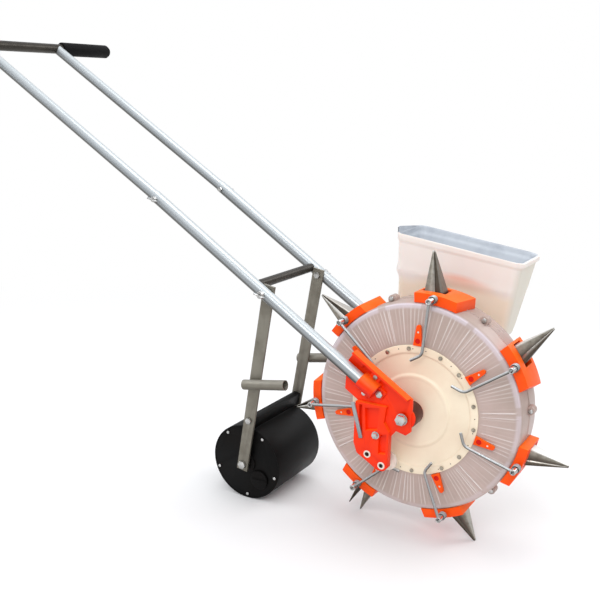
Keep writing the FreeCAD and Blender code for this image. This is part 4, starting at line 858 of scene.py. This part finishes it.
# Sides run straight between outlet, waist and mouth; a soft swell is added at mid height.
def hopperRings(s):
    rings = []
    mouth = (s["mouthLeft"] + s["mouthRight"]) / 2
    slope = (s["mouthRight"] - s["mouthLeft"]) / (s["right"] - s["left"])
    for t in np.linspace(0, 1, s["rows"]):
        z = s["outlet"] + (mouth - s["outlet"]) * t
        low = np.clip((z - s["outlet"]) / (s["waist"] - s["outlet"]), 0, 1)
        high = np.clip((z - s["waist"]) / (mouth - s["waist"]), 0, 1)
        step = 1 / (1 + math.exp(-(t - s["stepAt"] + s["stepLead"]) / s["stepFade"]))
        bulge = s["swell"] * math.exp(-((t - s["stepAt"]) / s["swellFade"]) ** 2)
        swell = bulge - s["tuck"] * (1 - step) * low
        band = s["rim"] * np.clip((t - s["rimAt"]) / s["rimFade"], 0, 1)
        left = twoRuns(low, high, s["outletLeft"], s["waistLeft"], s["left"] + s["rim"]) - swell - band
        lowRight = np.clip((z - s["outlet"]) / (s["waist"] - s["waistDrop"] - s["outlet"]), 0, 1)
        along = (z - s["waist"] + s["waistDrop"]) / (mouth - s["waist"] + s["waistDrop"])
        right = s["outletRight"] + (s["waistRight"] - s["outletRight"]) * lowRight
        right = right + (s["right"] - s["waistRight"]) * np.clip(along, 0, 1) + band * s["rimRight"]
        front = twoRuns(low, high, s["front"] + s["outletInset"], s["front"] + s["waistInset"],
                        s["front"] + s["rim"]) - swell * s["swellFront"] - band
        back = twoRuns(low, high, s["outletBack"], s["waistBack"], s["back"] - s["rim"])
        back = back + swell * s["swellBack"] + band
        corner = s["outletCorner"] + (s["corner"] - s["outletCorner"]) * low
        ring = roundedRing(left, right, max(front, s["front"] - 1), back, corner, s["columns"])
        middle = (left + right) / 2
        rings.append(np.column_stack([ring, z + slope * high * (ring[:, 0] - middle)]))
    return np.array(rings)


# The inner wall is the outer one moved inwards by the wall, and by the roll near the right rim.
def makeHopper(s):
    rings = hopperRings(s)
    centre = rings.mean(axis=1, keepdims=True)
    inward = centre - rings
    inward[..., 2] = 0
    inward /= np.linalg.norm(inward, axis=-1, keepdims=True)
    level = np.linspace(0, 1, s["rows"])[:, None]
    nearRight = np.clip((rings[..., 0] - s["right"] + s["rollInset"]) / s["rollWide"], 0, 1)
    roll = np.clip((level - s["rimAt"]) / s["rollFade"], 0, 1) * nearRight
    inner = rings + inward * (s["wall"] + s["roll"] * roll)[..., None]
    lip = (rings[-1] + inner[-1]) / 2 + np.array([0, 0, s["lip"]])
    outside = np.concatenate([rings, lip[None]])
    inside = np.concatenate([lip[None], inner[::-1], rings[:1]])
    # The inside wall takes the painted shade finish.
    walls = Shape().add(outside, wrap=True).add(inside, wrap=True, finish=1)
    walls.piece("hopperBin", "frame", "hopper_white", ["hopperPlastic", "hopperInside"], ["hopper"],
                smooth=60)


# Four lines along y make the gusset: foot and crest on both of its sides. It is high at the front.
def makeEar(s):
    y = np.linspace(s["front"] + s["earFront"], s["back"] - s["earBack"], 24)
    foot = np.full_like(y, s["mouthLeft"] - s["earFoot"])
    crest = foot + s["earFoot"] + s["earRise"] * (1 - (y - y[0]) / (y[-1] - y[0])) ** 0.9
    crest[0] = crest[1] - 1.5
    x = s["left"] + s["earInset"]
    corners = ((x, foot), (x, crest), (x + s["earThick"], crest), (x + s["earThick"], foot))
    lines = [np.stack([np.full_like(y, at), y, z], axis=-1) for at, z in corners]
    ear = Shape().add(np.stack(lines, axis=1), wrap=True)
    ear.piece("hopperEar", "frame", "hopper_white", ["hopperInside"])


makeHopper(hopperSet)
makeEar(hopperSet)
print("hopper made")

# Tubes and bars: a round bar along the main direction of the part's own points.
barSet = {"near_lower_tube": 12.5, "far_lower_tube": 12.5, "near_upper_tube": 11.0, "far_upper_tube": 11.0,
          "handlebar": 11.0, "cross_tube": 9.5}


def makeBar(node, radius):
    mesh = frame["nodes"][node].data
    points = np.empty(len(mesh.vertices) * 3)
    mesh.vertices.foreach_get("co", points)
    points = (points.reshape(-1, 3) - axleAt) * 1000
    middle = (points.max(axis=0) + points.min(axis=0)) / 2
    heading = np.linalg.svd(points - middle, full_matrices=False)[2][0]
    reach = (points - middle) @ heading
    path = middle + np.linspace(reach.min(), reach.max(), 5)[:, None] * heading
    reference = (0, 1, 0) if abs(heading[1]) < 0.9 else (1, 0, 0)
    bar = Shape().add(swept(path, radius, 48, reference), wrap=True)
    name = "".join(word.capitalize() for word in node.split("_")) + "Bar"
    name = name[0].lower() + name[1:]
    bar.piece(name, bodyOf[node], slotOf[node], [slotFinish[slotOf[node]]], [node])


for node, radius in barSet.items():
    makeBar(node, radius)
print("tubes and bars made")

# Rounded copies of the moulded, cast and pressed parts: how wide each one's rounding is, in metres.
softSet = {"near_bracket": 0.0014, "far_bracket": 0.0014, "tube_clamps": 0.0012, "seed_gates": 0.0009,
           "near_arm": 0.0006, "far_arm": 0.0006, "guide_strip": 0.0006, "scraper": 0.0005,
           "axle_nuts": 0.0009, "bracket_screws": 0.0006, "roller_end_caps": 0.0007, "filler_plug": 0.0008,
           "arm_bolts": 0.0006, "splice_bolts": 0.0005, "hand_grips": 0.0016, "roller_drum": 0.0012,
           "roller_axle": 0.0005, "plate_screws": 0.0009, "striker_roller": 0.0008,
           "far_cover_plate": 0.0006, "drum_bolts": 0.0006, "roller_cap_screws": 0.0008}
for index in range(1, beakCount + 1):
    softSet[f"beak_holder_{index}"] = 0.0026
# joinWithin is in metres and the angles in degrees: an edge under "flat" is dissolved, one over "sharp" is
# rounded, and shading breaks at "smooth".
softRules = {"joinWithin": 0.000005, "flat": 1.0, "sharp": 32, "smooth": 42, "segments": 3}


# The part's own form with its flats joined and its edges rounded.
def makeSoftened(node, width, s):
    mesh = frame["nodes"][node].data.copy()
    mesh.name = node + "Soft"
    work = bmesh.new()
    work.from_mesh(mesh)
    bmesh.ops.remove_doubles(work, verts=work.verts, dist=s["joinWithin"])
    bmesh.ops.dissolve_limit(work, angle_limit=math.radians(s["flat"]), verts=work.verts, edges=work.edges)
    sharp = math.radians(s["sharp"])
    edges = [e for e in work.edges if len(e.link_faces) == 2 and e.calc_face_angle(0) > sharp]
    bmesh.ops.bevel(work, geom=edges, offset=width, segments=s["segments"], profile=0.5, affect="EDGES",
                    clamp_overlap=True)
    work.to_mesh(mesh)
    work.free()
    mesh.validate()
    mesh.polygons.foreach_set("use_smooth", np.ones(len(mesh.polygons), dtype=bool))
    mesh.set_sharp_from_angle(angle=math.radians(s["smooth"]))
    piece = bpy.data.objects.new(node + "Soft", mesh)
    scene.collection.objects.link(piece)
    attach(piece, bodyOf[node])
    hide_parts(node)


for node, width in softSet.items():
    makeSoftened(node, width, softRules)
print("cast and moulded parts rounded")

# Bushes in the bracket's lowest corner: flanged tubes whose bore is painted dark, as shade inside the hole.
bushSet = {"bore": 4.05, "body": 6.9, "rim": 7.8, "rimAt": 112.05, "face": 113.2, "inside": 97.0, "lead": 0.6,
           "bevel": 0.5, "spots": ((-69, -88), (-37, -106))}


# Skin and bore are profiles turned about the bush's own middle.
def makeBushes(s):
    bushes = Shape()
    mouth = (s["bore"] + s["lead"], s["face"])
    skin = [mouth, (s["rim"] - s["bevel"], s["face"]), (s["rim"], s["face"] - s["bevel"]),
            (s["rim"], s["rimAt"]), (s["body"], s["rimAt"]), (s["body"], s["inside"]),
            (s["bore"], s["inside"])]
    bore = [(s["bore"], s["inside"]), (s["bore"], s["face"] - s["lead"]), mouth]
    for way in (-1, 1):
        for spot in s["spots"]:
            for finish, profile in ((0, skin), (1, bore)):
                ring = revolved([(r, way * y) for r, y in profile], 40, axisAt=spot)
                bushes.add(ring, wrap=True, finish=finish)
    bushes.piece("bracketBushRings", "frame", "bush_nylon", ["bushPlastic", "hubSteel"], ["bracket_bushes"])


makeBushes(bushSet)
print("bushes made")

# A thin dark sheet on the near bracket's boss, painted shade where the boss shows past the plate.
bossShadeSet = {"inner": 24.05, "outer": 24.6, "near": -95.5, "far": -60.0}


# A closed rectangle turned about the axle.
def makeBossShade(s):
    profile = rounded([(s["inner"], s["near"]), (s["outer"], s["near"]), (s["outer"], s["far"]),
                       (s["inner"], s["far"]), (s["inner"], s["near"])], 0.2, 3)
    ring = Shape().add(revolved(profile, 72), wrap=True)
    ring.piece("bossShadeSheet", "frame", "bracket_red", ["collarDark"])


makeBossShade(bossShadeSet)
print("collar made")
